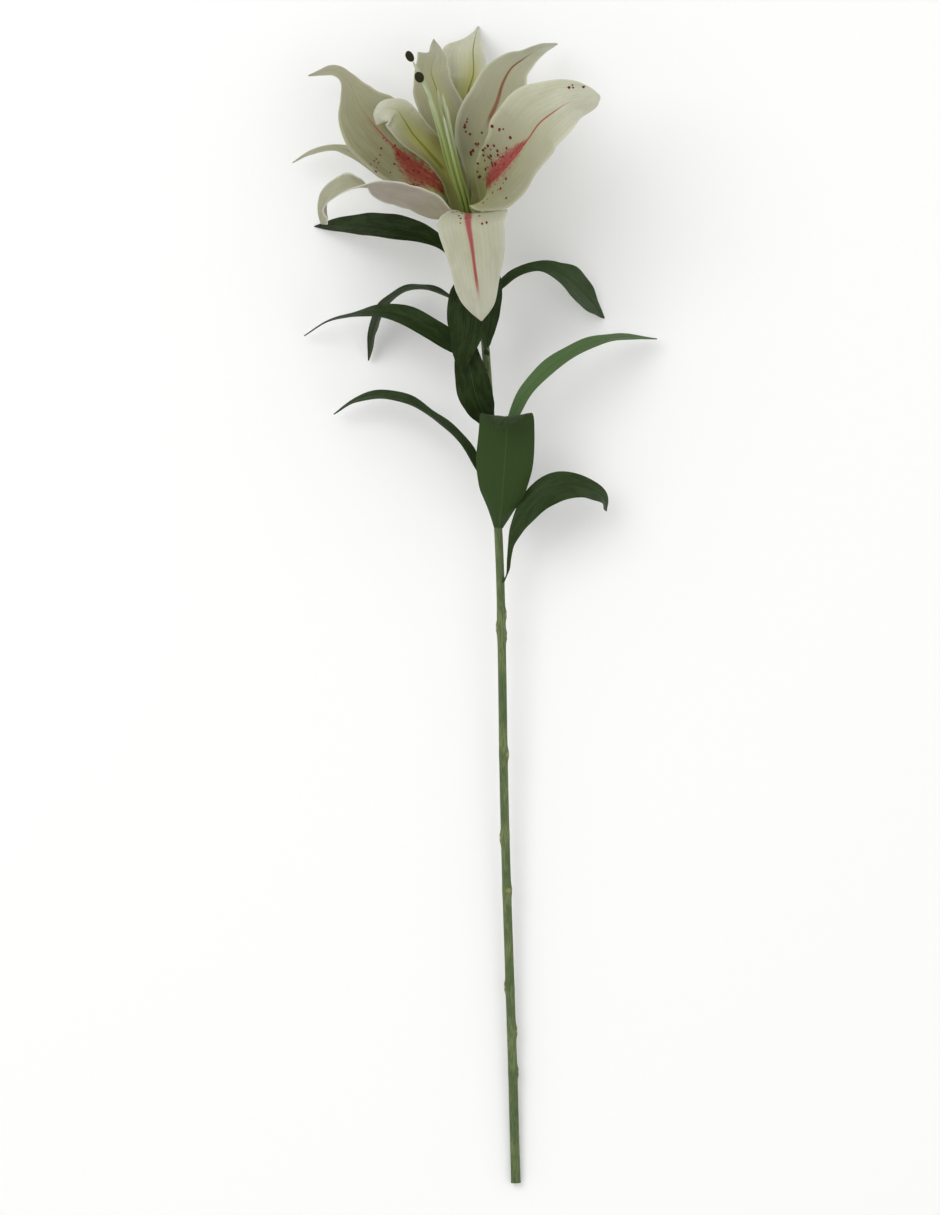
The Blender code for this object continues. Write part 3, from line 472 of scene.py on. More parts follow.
def eased(stations, share):
    """Smooth values at each share through (share, value) stations, with no overshoot."""
    x, y = np.array(stations, dtype=float).T
    step = np.diff(x)
    rise = np.diff(y) / step
    slope = np.zeros(len(x))
    slope[0], slope[-1] = rise[0], rise[-1]
    for i in range(1, len(x) - 1):
        if rise[i - 1] * rise[i] > 0:
            before = 2 * step[i] + step[i - 1]
            after = step[i] + 2 * step[i - 1]
            slope[i] = (before + after) / (before / rise[i - 1] + after / rise[i])
    i = np.clip(np.searchsorted(x, share, side="right") - 1, 0, len(step) - 1)
    u = (share - x[i]) / step[i]
    return (y[i] * (1 + 2 * u) * (1 - u) ** 2 + slope[i] * step[i] * u * (1 - u) ** 2
            + y[i + 1] * u ** 2 * (3 - 2 * u) + slope[i + 1] * step[i] * u ** 2 * (u - 1))


def turning_faces(line, faces, part_rows):
    """Inner normal and sideways direction at each point of a midrib, smoothed as in the solid."""
    share = np.linspace(0, 1, len(line))
    tangent = unit(np.gradient(line, axis=0))
    places = [place for place, direction in faces]
    ways = np.array([unit(np.array(direction, dtype=float)) for place, direction in faces])
    normal = between(share, places, ways)
    for _ in range(round(SMOOTHING_ROUNDS * ((len(line) - 1) / (part_rows - 1)) ** 2)):
        normal[1:-1] = (normal[:-2] + 2 * normal[1:-1] + normal[2:]) / 4
    normal = unit(normal - (normal * tangent).sum(axis=1, keepdims=True) * tangent)
    return normal, np.cross(normal, tangent)


def blade_grid(line, normal, side, half, bend, columns, depth, wave=0.0):
    """Rows of points across a blade: arcs of half angle bend, with a midrib groove and edge waves."""
    across = np.linspace(-1, 1, columns)[None, :]
    bend = np.where(np.abs(bend) < 0.001, 0.001, bend)
    sideways = half * np.sin(bend * across) / bend
    lift = half * (1 - np.cos(bend * across)) / bend + wave
    lift = lift - depth * np.clip(1 - np.abs(across) / MIDRIB_SHARE, 0, 1) ** 2
    return line[:, None] + side[:, None] * sideways[..., None] + normal[:, None] * lift[..., None]


def leaf_grid(spec, rows, columns):
    """A leaf grows out of the stem with its inner face to the flower, then follows its midrib."""
    centre, radius = stem_at(spec["foot"])
    out = unit(np.array([spec["out"][0], 0.0, spec["out"][1]]))
    foot = centre + out * (radius - FOOT_SINK)
    line, length = smooth_line([foot, *metres(spec["midrib"])], rows)
    share = np.linspace(0, 1, rows)
    normal, side = turning_faces(line, ((0, (0, 1, 0)),) + spec["faces"], PART_LEAF_ROWS)
    half = eased(spec.get("outline", LEAF_OUTLINE), share)[:, None] * spec["width"] * MM / 2
    bend = np.radians(eased(spec.get("cup", LEAF_CUP), share))[:, None]
    ribbed = np.minimum(1, half / RIBBED_HALF)
    depth = MIDRIB_DEPTH * ribbed
    across = np.linspace(-1, 1, columns)[None, :]
    ribs = LEAF_RIB_HEIGHT * np.cos(math.pi * LEAF_RIBS * across) * ribbed
    turn = 2 * math.pi * LEAF_WAVES * share[:, None] + spec["foot"] + LEAF_SIDE_PHASE * np.sign(across)
    wave = LEAF_WAVE * across ** 4 * np.sin(turn) * np.minimum(1, half / WAVED_HALF)
    return blade_grid(line, normal, side, half, bend, columns, depth, ribs + wave), half, length


def blade_shell(grid, half, length, thickness):
    """Points, faces and fields of a closed blade: its inner face, its outer face and its rim. The
    field share has the share across, 1 on the inner face, and the share along."""
    rows, columns = grid.shape[:2]
    normal = unit(np.cross(np.gradient(grid, axis=0), np.gradient(grid, axis=1)))
    across = np.linspace(-1, 1, columns)
    lift = thickness / 2 * (1 - EDGE_THINNING * across ** 4)[None, :, None] * normal
    points = np.concatenate(((grid + lift).reshape(-1, 3), (grid - lift).reshape(-1, 3)))
    inner = [face[::-1] for face in quads(rows, columns)]
    outer = quads(rows, columns, first=rows * columns)
    border = [i * columns for i in range(rows - 1)]
    border += [(rows - 1) * columns + j for j in range(columns - 1)]
    border += [i * columns + columns - 1 for i in range(rows - 1, 0, -1)]
    border += list(range(columns - 1, 0, -1))
    under = [corner + rows * columns for corner in border]
    rim = list(zip(border, under, under[1:] + under[:1], border[1:] + border[:1]))
    share = np.linspace(0, 1, rows)
    sheet = np.ones((rows, columns))
    share_field = np.stack((sheet * across, sheet, sheet * share[:, None]), axis=-1).reshape(-1, 3)
    place = np.stack((half * across, 0 * sheet, sheet * share[:, None] * length), axis=-1) / MM
    place = place.reshape(-1, 3)
    fields = dict(share=np.concatenate((share_field, share_field * [1, 0, 1])),
                  place=np.concatenate((place, place + [0, FACES_APART, 0])))
    return points, inner + outer + rim, fields


def vein_group():
    """Fine veins that run from the foot of a blade to its tip, closer together where it narrows."""
    tree, given, out = new_group("Parallel veins", {"Share": None, "Number": 10.0}, ("Veins",))
    noise = place_node(tree, "ShaderNodeTexNoise", {"Vector": given["Share"], "Scale": 3.0})
    turned = times(tree, parts(tree, given["Share"])["X"], times(tree, given["Number"], math.pi))
    wave = maths(tree, "COSINE", maths(tree, "ADD", turned, noise.outputs["Fac"]))
    tree.links.new(ramp(tree, wave, 0.2, 1.0), out["Veins"])
    return tree


def line_group():
    """One line along the middle of a blade, between two shares of its length. It has soft ends and
    narrows from its start."""
    tree, given, out = new_group("Midvein", {"Share": None, "Place": None, "Width": 1.0,
                                             "Start": 0.0, "End": 1.0}, ("Line",))
    along = parts(tree, given["Share"])["Z"]
    rise = ramp(tree, along, given["Start"], maths(tree, "ADD", given["Start"], 0.05))
    fade = ramp(tree, along, maths(tree, "SUBTRACT", given["End"], 0.14), given["End"], 1.0, 0.0)
    narrow = maths(tree, "ADD", given["Start"], 0.35)
    reach = times(tree, ramp(tree, along, given["Start"], narrow, 1.0, 0.38), given["Width"])
    from_middle = maths(tree, "ABSOLUTE", parts(tree, given["Place"])["X"])
    body = ramp(tree, maths(tree, "DIVIDE", from_middle, reach), 0.2, 0.55, 1.0, 0.0)
    tree.links.new(times(tree, body, times(tree, rise, fade)), out["Line"])
    return tree


VEINS = vein_group()
MIDVEIN = line_group()


def veins(tree, number):
    """That many fine veins across the piece's own blade."""
    feeds = {"Share": field(tree, "share"), "Number": number}
    return place_node(tree, "ShaderNodeGroup", feeds, node_tree=VEINS).outputs["Veins"]


def midvein(tree, width, start, end):
    """The line along the middle of the piece's own blade, its width in mm."""
    feeds = {"Share": field(tree, "share"), "Place": field(tree, "place"),
             "Width": width, "Start": start, "End": end}
    return place_node(tree, "ShaderNodeGroup", feeds, node_tree=MIDVEIN).outputs["Line"]


def leaf_finish(name, freshness, midrib):
    """Dark satin green above and paler green below, with parallel veins and a pale midrib."""
    made, tree, shader = new_material(name + "_green", 0.5, shine=0.08)
    share = parts(tree, field(tree, "share"))
    mottle = grain(tree, 0.25, 3.0)
    upper = tint(tree, freshness, LEAF_UPPER, LEAF_FRESH)
    upper = tint(tree, ramp(tree, mottle, 0.2, 0.9, 0.0, 0.12), upper, LEAF_FRESH)
    colour = tint(tree, share["Y"], tint(tree, freshness, LEAF_UNDER, LEAF_FRESH), upper)
    lines = veins(tree, 16.0)
    colour = tint(tree, times(tree, lines, 0.35), colour, LEAF_VEIN)
    rib = midvein(tree, 1.6, -0.2, 0.98)
    colour = tint(tree, times(tree, rib, midrib), colour, LEAF_MIDRIB)
    fibres = grain(tree, 2.5, 10.0)
    roughness = ramp(tree, fibres, 0.1, 0.9, 0.36, 0.5)
    join_skin(tree, shader, colour, roughness, maths(tree, "ADD", lines, fibres), BLADE_RELIEF)
    return made


for name, spec in LEAVES.items():
    grid, half, length = leaf_grid(spec, LEAF_ROWS, LEAF_COLUMNS)
    points, faces, fields = blade_shell(grid, half, length, LEAF_THICKNESS)
    finish = leaf_finish(name, *LEAF_LOOKS.get(name, PLAIN_LEAF))
    leaf = add_piece(name + "_surface", points, faces, finish, crease=BLADE_CREASE, **fields)
    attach(leaf, "root")
    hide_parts(name)

# Tepals: nine soft cream blades set in layers on the receptacle. They make a short tube, then spread
# and roll back. Some have a crimson flare and raised dark spots, and each a coloured midvein.
TUBE_RADIUS = 0.0050
TUBE_FLARE = 0.25
LAYER_STEP = 0.00125
FREEING_LENGTH = 0.030
WAVES_PER_TEPAL, TEPAL_SIDE_PHASE = 2.2, 0.8
# Below these half widths the waves and the midrib groove of a tepal fade
FULL_WAVE_HALF, FULL_GROOVE_HALF = 0.010, 0.008
TEPAL_START = -0.0006
TEPAL_ROWS, TEPAL_COLUMNS = 150, 49
PART_TEPAL_ROWS = 20
TEPAL_THICKNESS = 0.0007
TEPAL_RIBS, TEPAL_RIB_HEIGHT = 6, 0.00006
RUFFLE, RUFFLES = 0.00025, 11
# Each tepal. Its base stands at an angle round the flower's axis (0 in front, 90 right), on a layer of
# the tube that the bases make, and stays in the tube for a length. waves are the height and the phase
# of the waves of its edges, and skew is how much wider the half on its left is, seen from inside with
# the tip up. The rest is as for a leaf.
TEPALS = {
    "tepal_front": dict(
        angle=0, layer=1, tube=30, width=43, waves=(1.2, 0.5),
        midrib=((-3, 231, 88), (-4, 233, 101), (-4, 226, 112), (-2, 214, 112), (0, 199, 106),
                (2, 185, 97), (4, 170, 83)),
        faces=((0.36, (0, 0.7, 0.5)), (0.5, (0, 0.2, 1)), (0.7, (0, -0.1, 1)), (1, (0, -0.4, 1))),
        outline=((0, 0.16), (0.12, 0.22), (0.2, 0.26), (0.28, 0.44), (0.4, 0.82), (0.5, 0.94),
                 (0.6, 0.89), (0.7, 0.8), (0.8, 0.68), (0.9, 0.53), (0.96, 0.3), (1, 0.03)),
        skew=((0, 0), (0.12, 0.1), (0.2, 0.42), (0.28, 0.48), (0.42, 0.28), (0.52, 0.08),
              (0.7, 0.1), (0.85, -0.05), (1, -0.1)),
        cup=((0, 30), (0.4, 15), (0.55, -15), (0.8, -35), (1, -40))),
    "tepal_right": dict(
        angle=75, layer=0, tube=42, width=46, waves=(2, 0.7),
        midrib=((14, 257, 90), (23, 266, 104), (32, 277, 116), (38, 285, 124), (46, 291, 130),
                (56, 297, 133), (74, 301, 125)),
        faces=((0.42, (-0.5, 0.1, 0.8)), (0.6, (-0.25, 0.1, 0.9)), (0.85, (-0.1, 0.1, 1)),
               (1, (0.2, 0.3, 0.9))),
        outline=((0, 0.16), (0.12, 0.34), (0.3, 0.84), (0.42, 1), (0.5, 1), (0.7, 0.98),
                 (0.8, 0.8), (0.9, 0.5), (0.95, 0.36), (0.98, 0.24), (1, 0.04)),
        skew=((0, 0), (0.2, -0.08), (0.29, -0.16), (0.36, -0.1), (0.42, -0.18), (0.48, -0.12),
              (0.6, 0.13), (0.85, 0.1), (1, 0)),
        cup=((0, 30), (0.35, 33), (0.6, 24), (0.8, 5), (1, -20))),
    "tepal_back_right": dict(
        angle=122, layer=1, tube=42, width=42, waves=(1.2, 1.7),
        midrib=((7, 273, 66), (8, 289, 68), (13, 301, 68), (17, 314, 65), (22, 323, 59),
                (29, 329, 50), (38, 336, 36), (50, 341, 18)),
        faces=((0.5, (-0.1, -0.1, 0.9)), (0.7, (0, 0.1, 1)), (0.85, (0.3, 0.3, 0.8)),
               (1, (0.3, 0.5, 0.8))),
        outline=((0, 0.16), (0.12, 0.28), (0.28, 0.7), (0.4, 0.93), (0.5, 0.9), (0.6, 0.75),
                 (0.7, 0.47), (0.78, 0.3), (0.86, 0.22), (0.94, 0.12), (1, 0.03)),
        skew=((0, 0), (0.65, 0), (0.75, -0.15), (0.85, -0.3), (1, 0)),
        cup=((0, 30), (0.35, 30), (0.6, 20), (0.75, 45), (0.86, 60), (1, 40))),
    "tepal_back": dict(
        angle=155, layer=4, tube=42, width=36, waves=(1.5, 0.3),
        midrib=((-4, 280, 49), (-5, 296, 44), (-4, 310, 40), (-1, 321, 35), (-1, 338, 21),
                (2, 353, 0.5)),
        faces=((0.5, (-0.1, 0, 1)), (0.8, (-0.45, 0.3, 0.9)), (1, (-0.3, 0.3, 0.9))),
        outline=((0, 0.14), (0.12, 0.26), (0.28, 0.55), (0.42, 0.85), (0.55, 0.95), (0.65, 0.85),
                 (0.8, 0.8), (0.86, 0.66), (0.9, 0.32), (0.95, 0.13), (1, 0.03)),
        skew=((0, 0), (0.5, 0), (0.7, 0.33), (0.86, 0.45), (0.91, 0.2), (1, 0)),
        cup=((0, 30), (0.35, 25), (0.6, 25), (0.8, 35), (1, 20))),
    "tepal_back_left": dict(
        angle=185, layer=2, tube=42, width=30, waves=(1.2, 2.3),
        midrib=((-14, 277, 55), (-19, 297, 54), (-23.5, 312, 51), (-26.5, 322, 46),
                (-24, 332, 38), (-25, 343, 26)),
        faces=((0.5, (0, 0, 1)), (1, (0.1, 0.3, 0.9))),
        outline=((0, 0.14), (0.12, 0.26), (0.28, 0.55), (0.42, 0.85), (0.55, 0.95), (0.65, 0.9),
                 (0.75, 0.77), (0.8, 0.7), (0.86, 0.66), (0.9, 0.32), (0.95, 0.2), (1, 0.03)),
        skew=((0, 0), (0.6, 0.05), (0.7, 0.17), (0.8, -0.08), (0.86, 0.12), (0.9, -0.1), (1, 0)),
        cup=((0, 30), (0.35, 25), (0.6, 20), (0.8, 15), (1, 10))),
    "tepal_inner_left": dict(
        angle=207, layer=-0.8, tube=42, width=30, waves=(1, 2.3),
        midrib=((-28, 272, 71), (-37, 282, 76), (-43, 291, 82), (-47, 296, 85), (-53, 297, 85),
                (-58, 293, 81), (-59, 288, 76)),
        faces=((0.5, (0.35, -0.15, 0.9)), (0.8, (0, 0.3, 1)), (1, (-0.4, 0.2, 0.8))),
        outline=((0, 0.18), (0.12, 0.32), (0.3, 0.54), (0.4, 0.57), (0.5, 0.58), (0.6, 0.65),
                 (0.7, 0.71), (0.8, 0.68), (0.86, 0.5), (0.93, 0.42), (0.97, 0.3), (1, 0.05)),
        skew=((0, 0), (0.3, -0.17), (0.42, -0.33), (0.5, -0.34), (0.6, -0.16), (0.7, 0),
              (0.86, 0.15), (1, 0)),
        cup=((0, 30), (0.35, 45), (0.6, 35), (0.75, 5), (0.85, -22), (1, -30))),
    "tepal_left": dict(
        angle=228, layer=1, tube=42, width=50, waves=(1.5, 1),
        midrib=((-33, 263, 64), (-46, 273, 65), (-58, 285, 65), (-67, 297, 63), (-72, 307, 58),
                (-77, 317, 50), (-85, 323, 40), (-101, 321, 27)),
        faces=((0.5, (0.3, -0.1, 0.9)), (0.75, (0.1, 0, 1)), (1, (-0.3, 0.5, 0.8))),
        outline=((0, 0.14), (0.12, 0.22), (0.25, 0.44), (0.35, 0.8), (0.42, 0.9), (0.55, 0.9),
                 (0.62, 0.76), (0.7, 0.44), (0.76, 0.25), (0.82, 0.16), (0.9, 0.15), (0.95, 0.09),
                 (1, 0.02)),
        skew=((0, 0), (1, 0)),
        cup=((0, 30), (0.35, 35), (0.6, 20), (0.8, 20), (1, 20))),
    "tepal_outer_left": dict(
        angle=262, layer=3, tube=24, width=28, waves=(1, 1),
        midrib=((-26, 242, 56), (-38, 252, 50), (-54, 263, 44), (-67, 271, 40), (-77, 275, 36),
                (-86, 277, 31), (-100, 274.5, 23), (-111, 269, 14)),
        faces=((0.5, (0.2, 0.3, 0.9)), (0.75, (0, 0.5, 0.85)), (1, (-0.3, 0.5, 0.8))),
        outline=((0, 0.14), (0.12, 0.25), (0.28, 0.5), (0.4, 0.7), (0.5, 0.6), (0.6, 0.44),
                 (0.7, 0.27), (0.77, 0.17), (0.86, 0.16), (0.95, 0.08), (1, 0.02)),
        skew=((0, 0), (1, 0)),
        cup=((0, 30), (0.35, 25), (0.6, 15), (0.8, 10), (1, 0))),
    "tepal_front_left": dict(
        angle=318, layer=0, tube=28, width=40, waves=(1, 1),
        midrib=((-20, 233, 78), (-28, 239.5, 87), (-38, 243, 96), (-47, 245, 102),
                (-56, 247.5, 107), (-65, 248.5, 110), (-74, 248.3, 111), (-82, 246.5, 109),
                (-88, 242, 103), (-91, 235, 95), (-92, 228, 86)),
        faces=((0.3, (-0.1, 0.9, -0.4)), (0.55, (-0.1, 0.95, -0.28)), (0.65, (-0.1, 1, 0)),
               (0.75, (-0.1, 0.9, 0.37)), (0.85, (-0.3, 0.6, 0.7)), (1, (-0.5, 0.1, 0.85))),
        outline=((0, 0.16), (0.12, 0.26), (0.25, 0.5), (0.35, 0.6), (0.45, 0.66), (0.6, 0.85),
                 (0.75, 0.85), (0.84, 0.74), (0.92, 0.5), (0.97, 0.28), (1, 0.04)),
        skew=((0, 0), (0.12, -0.1), (0.22, -0.2), (0.45, -0.25), (0.6, -0.15), (0.75, 0), (1, 0)),
        cup=((0, 30), (0.35, 14), (0.55, 14), (0.66, 26), (0.74, 20), (0.85, 0), (1, -10))),
}


def radial(angle):
    """The direction out of the flower's axis at that angle round it."""
    turn = math.radians(angle)
    return FLOWER_RIGHT * math.sin(turn) + FLOWER_BACK * -math.cos(turn)


def tepal_grid(spec, rows, columns):
    """A tepal leaves the flower's base in the tube, on its layer, then follows its own midrib."""
    outward = radial(spec["angle"])
    tube_length = spec["tube"] * MM
    radius = TUBE_RADIUS + LAYER_STEP * spec["layer"]
    start = [FLOWER_BASE + FLOWER_AXIS * height + outward * (radius + TUBE_FLARE * height)
             for height in np.linspace(TEPAL_START, tube_length, 4)]
    line, length = smooth_line([*start, *metres(spec["midrib"])], rows)
    share = np.linspace(0, 1, rows)
    faces = ((0, -outward), (tube_length / length, -outward)) + spec["faces"]
    normal, side = turning_faces(line, faces, PART_TEPAL_ROWS)
    half = eased(spec["outline"], share)[:, None] * spec["width"] * MM / 2
    across = np.linspace(-1, 1, columns)[None, :]
    half_sides = half * (1 + np.sign(across) * eased(spec["skew"], share)[:, None])
    from_base = line - FLOWER_BASE
    up_axis = (from_base @ FLOWER_AXIS)[:, None]
    from_axis = np.linalg.norm(from_base - up_axis * FLOWER_AXIS, axis=1)[:, None]
    free = np.clip((share[:, None] * length - tube_length) / FREEING_LENGTH, 0, 1)
    free = free * free * (3 - 2 * free)
    cup = np.radians(eased(spec["cup"], share))[:, None]
    bend = half / from_axis * (1 - free) + cup * free
    height, phase = spec["waves"]
    full = np.minimum(1, half / FULL_WAVE_HALF)
    along = 2 * math.pi * share[:, None]
    turn = WAVES_PER_TEPAL * along + phase * across + TEPAL_SIDE_PHASE * np.sign(across)
    wave = height * MM * free * np.abs(across) ** 2.5 * full * np.sin(turn)
    ruffle = RUFFLE * free * across ** 6 * full * np.sin(RUFFLES * along + phase)
    ribs = TEPAL_RIB_HEIGHT * full * np.cos(math.pi * TEPAL_RIBS * across)
    depth = MIDRIB_DEPTH * free * np.minimum(1, half / FULL_GROOVE_HALF)
    grid = blade_grid(line, normal, side, half_sides, bend, columns, depth, wave + ruffle + ribs)
    return grid, half_sides, length


# The marks of each tepal: the first pair is how far its inner face darkens to a painted shade, khaki or
# yellow, low down and at the tip, for the shade that falls on it. vein is its midvein's colour, width in
# mm and the shares of the length between which it shows, and root the same for a green line below it.
# flare has its colour, the shares at which it starts, is widest and ends, the place across that it lies
# round and its half width there.
# glow and blush are how far the yellow-green of the middle and the pink of the back show, and rim how
# far a painted highlight, pale along the margins, shows.
CRIMSON = (0.32, 0.046, 0.048, 1)
DARK_CRIMSON = (0.15, 0.012, 0.012, 1)
BROWN_CRIMSON = (0.23, 0.029, 0.014, 1)
RED_BROWN = (0.20, 0.065, 0.030, 1)
OLIVE = (0.17, 0.17, 0.02, 1)
YELLOW_GREEN = (0.34, 0.34, 0.09, 1)
TEPAL_CREAM = (0.54, 0.545, 0.445, 1)
# Painted shade: the khaki that the inner face of a tepal darkens to where shade falls on it
KHAKI_PAINTED_SHADE = (0.20, 0.19, 0.10, 1)
# Painted shade in yellow, for the two yellower tepals
YELLOW_PAINTED_SHADE = (0.17, 0.155, 0.04, 1)
TEPAL_SHADE = (0.34, 0.33, 0.22, 1)
# Painted highlight along the margins of both faces of a tepal
TEPAL_RIM_HIGHLIGHT = (0.66, 0.67, 0.58, 1)
TEPAL_BASE_GREEN = (0.43, 0.45, 0.17, 1)
TEPAL_OUTSIDE = (0.40, 0.39, 0.325, 1)
OUTSIDE_BLUSH = (0.30, 0.235, 0.20, 1)
GLOW_THROUGH, GLOW_DEPTH, GLOW_REACH = 0.35, 0.002, (1.0, 1.0, 0.7)
TEPAL_MARKS = {
    "tepal_front": dict(painted_shade=(0.35, 0.1), vein=(CRIMSON, 6.8, 0.35, 0.90)),
    "tepal_right": dict(
        painted_shade=(0.8, 0.0), vein=(CRIMSON, 3.6, 0.26, 0.90), flare=(CRIMSON, 0.24, 0.40, 0.68, 0.17, 0.36)),
    "tepal_back_right": dict(painted_shade=(0.75, 0.2), vein=(RED_BROWN, 3.4, 0.43, 0.86), rim=0.4),
    "tepal_back": dict(painted_shade=(0.3, 0.0), vein=(OLIVE, 3.4, 0.40, 1.0), shade_colour=YELLOW_PAINTED_SHADE, glow=0.9),
    "tepal_back_left": dict(painted_shade=(0.95, 0.5), vein=(OLIVE, 2.6, 0.40, 0.86), glow=0.5),
    "tepal_inner_left": dict(
        painted_shade=(1.2, 0.0), vein=(OLIVE, 3.4, 0.40, 0.86), shade_colour=YELLOW_PAINTED_SHADE, glow=0.8),
    "tepal_left": dict(
        painted_shade=(1.0, 0.6), vein=(CRIMSON, 3.0, 0.25, 0.68), root=(YELLOW_GREEN, 4.0, 0.1, 0.34),
        flare=(BROWN_CRIMSON, 0.20, 0.31, 0.51, 0.25, 0.68)),
    "tepal_outer_left": dict(painted_shade=(0.7, 0.5), vein=(OLIVE, 1.8, 0.30, 0.80)),
    "tepal_front_left": dict(painted_shade=(0.55, 0.75), vein=(OLIVE, 1.6, 0.35, 0.7), blush=0.6, rim=0.8),
}
# Groups of raised dots: how many, the shares of the length and the places across that they keep to,
# and their size in mm
TEPAL_SPOTS = {
    "tepal_front": ((8, (0.46, 0.56), (-0.55, 0.5), 0.7), (7, (0.40, 0.47), (-0.7, -0.15), 0.8)),
    "tepal_right": ((36, (0.27, 0.60), (0.25, 0.95), 1.0), (14, (0.26, 0.45), (-0.8, -0.1), 0.9),
                    (5, (0.80, 0.95), (0.6, 0.85), 0.8)),
    "tepal_back_right": ((14, (0.32, 0.47), (0.1, 0.8), 0.9),),
    "tepal_left": ((30, (0.30, 0.52), (-0.1, 0.95), 0.75),),
}
SPOT_SIDES = 10
SPOT_SIZES = (0.55, 1.25)
# A spot's rings, from its sunken edge to its top: the share of its radius and the height in mm
SPOT_RINGS = ((1.0, -0.06), (0.8, 0.06), (0.45, 0.13), (0.0, 0.15))
SPOT_STRETCH = 1.15
SPOT_SEED = 7


def flare_group():
    """A brushed patch beside the midvein: widest at Peak, drawn out to a point at End."""
    tree, given, out = new_group(
        "Flare", {"Share": None, "Grain": 0.5, "Start": 0.2, "Peak": 0.4, "End": 0.6,
                  "Centre": 0.2, "Half Width": 0.3}, ("Flare",))
    share = parts(tree, given["Share"])
    rise = ramp(tree, share["Z"], given["Start"], maths(tree, "ADD", given["Start"], 0.07))
    fade = ramp(tree, share["Z"], given["Peak"], given["End"], 1.0, 0.0)
    place = times(tree, given["Centre"], fade)
    away = maths(tree, "ABSOLUTE", maths(tree, "SUBTRACT", share["X"], place))
    reach = times(tree, given["Half Width"], times(tree, fade, rise))
    away = maths(tree, "DIVIDE", away, maths(tree, "ADD", reach, 0.001))
    ragged = maths(tree, "ADD", away, ramp(tree, given["Grain"], 0.0, 1.0, -0.25, 0.35))
    body = ramp(tree, ragged, 0.2, 1.25, 1.0, 0.0)
    tree.links.new(times(tree, body, ramp(tree, fade, 0.0, 0.25)), out["Flare"])
    return tree


FLARE = flare_group()


def tepal_finish(name, painted_shade, vein, shade_colour=KHAKI_PAINTED_SHADE, root=None, flare=None, glow=0.12, blush=0.0,
                 rim=0.2):
    """Soft cream with fine parallel veins, greener to the base, with its midvein and flare inside and
    a duller back. Its inner face has painted shade low down and at the tip, and both faces a painted
    highlight along the margins. The raised spots are dark."""
    made, tree, shader = new_material(name + "_cream", 0.5, shine=0.25)
    shader["Subsurface Weight"].default_value = GLOW_THROUGH
    shader["Subsurface Scale"].default_value = GLOW_DEPTH
    shader["Subsurface Radius"].default_value = GLOW_REACH
    share = parts(tree, field(tree, "share"))
    along = share["Z"]
    from_middle = maths(tree, "ABSOLUTE", share["X"])
    mottle = grain(tree, 0.10, 2.5)
    fibres = grain(tree, 1.8, 16.0)
    lines = veins(tree, 15.0)
    # Painted highlight: a pale band along the margins, as strong as rim
    rim_highlight = ramp(tree, from_middle, 0.84, 1.0, 0.0, rim)
    # Painted shade: the inner face darkens towards its shade colour low down and at the tip
    colour = tint(tree, ramp(tree, along, 0.4, 1.0, *painted_shade), TEPAL_CREAM, shade_colour)
    colour = tint(tree, ramp(tree, mottle, 0.2, 0.9, 0.0, 0.3), colour, TEPAL_SHADE)
    colour = tint(tree, times(tree, lines, 0.16), colour, TEPAL_SHADE)
    near_middle = ramp(tree, from_middle, 0.0, 0.9, glow, 0.0)
    near_middle = times(tree, near_middle, ramp(tree, along, 0.6, 0.95, 1.0, 0.0))
    colour = tint(tree, near_middle, colour, YELLOW_GREEN)
    colour = tint(tree, ramp(tree, along, 0.14, 0.44, 0.8, 0.0), colour, TEPAL_BASE_GREEN)
    inside = tint(tree, rim_highlight, colour, TEPAL_RIM_HIGHLIGHT)
    if root:
        inside = tint(tree, midvein(tree, *root[1:]), inside, root[0])
    inside = tint(tree, times(tree, midvein(tree, *vein[1:]), 0.92), inside, vein[0])
    if flare:
        feeds = dict(zip(("Start", "Peak", "End", "Centre", "Half Width"), flare[1:]))
        feeds.update({"Share": field(tree, "share"), "Grain": grain(tree, 1.1, 4.0)})
        patch = place_node(tree, "ShaderNodeGroup", feeds, node_tree=FLARE).outputs["Flare"]
        red = tint(tree, ramp(tree, grain(tree, 0.9, 5.0), 0.5, 1.0), flare[0], DARK_CRIMSON)
        inside = tint(tree, times(tree, patch, 0.95), inside, red)
    outside = tint(tree, ramp(tree, mottle, 0.2, 0.9, 0.0, 0.4), TEPAL_OUTSIDE, TEPAL_SHADE)
    outside = tint(tree, ramp(tree, along, 0.1, 0.5, 0.7, 0.0), outside, TEPAL_BASE_GREEN)
    outside = tint(tree, ramp(tree, mottle, 0.0, 1.0, 0.6 * blush, blush), outside, OUTSIDE_BLUSH)
    # The painted highlight along the margins, on the back too
    outside = tint(tree, rim_highlight, outside, TEPAL_RIM_HIGHLIGHT)
    outside = tint(tree, ramp(tree, from_middle, 0.0, 0.12, 0.15, 0.0), outside, YELLOW_GREEN)
    colour = tint(tree, share["Y"], outside, inside)
    spot = place_node(tree, "ShaderNodeAttribute", attribute_name="spot").outputs["Fac"]
    colour = tint(tree, spot, colour, DARK_CRIMSON)
    roughness = ramp(tree, fibres, 0.1, 0.9, 0.42, 0.6)
    join_skin(tree, shader, colour, roughness, maths(tree, "ADD", lines, fibres), BLADE_RELIEF)
    return made


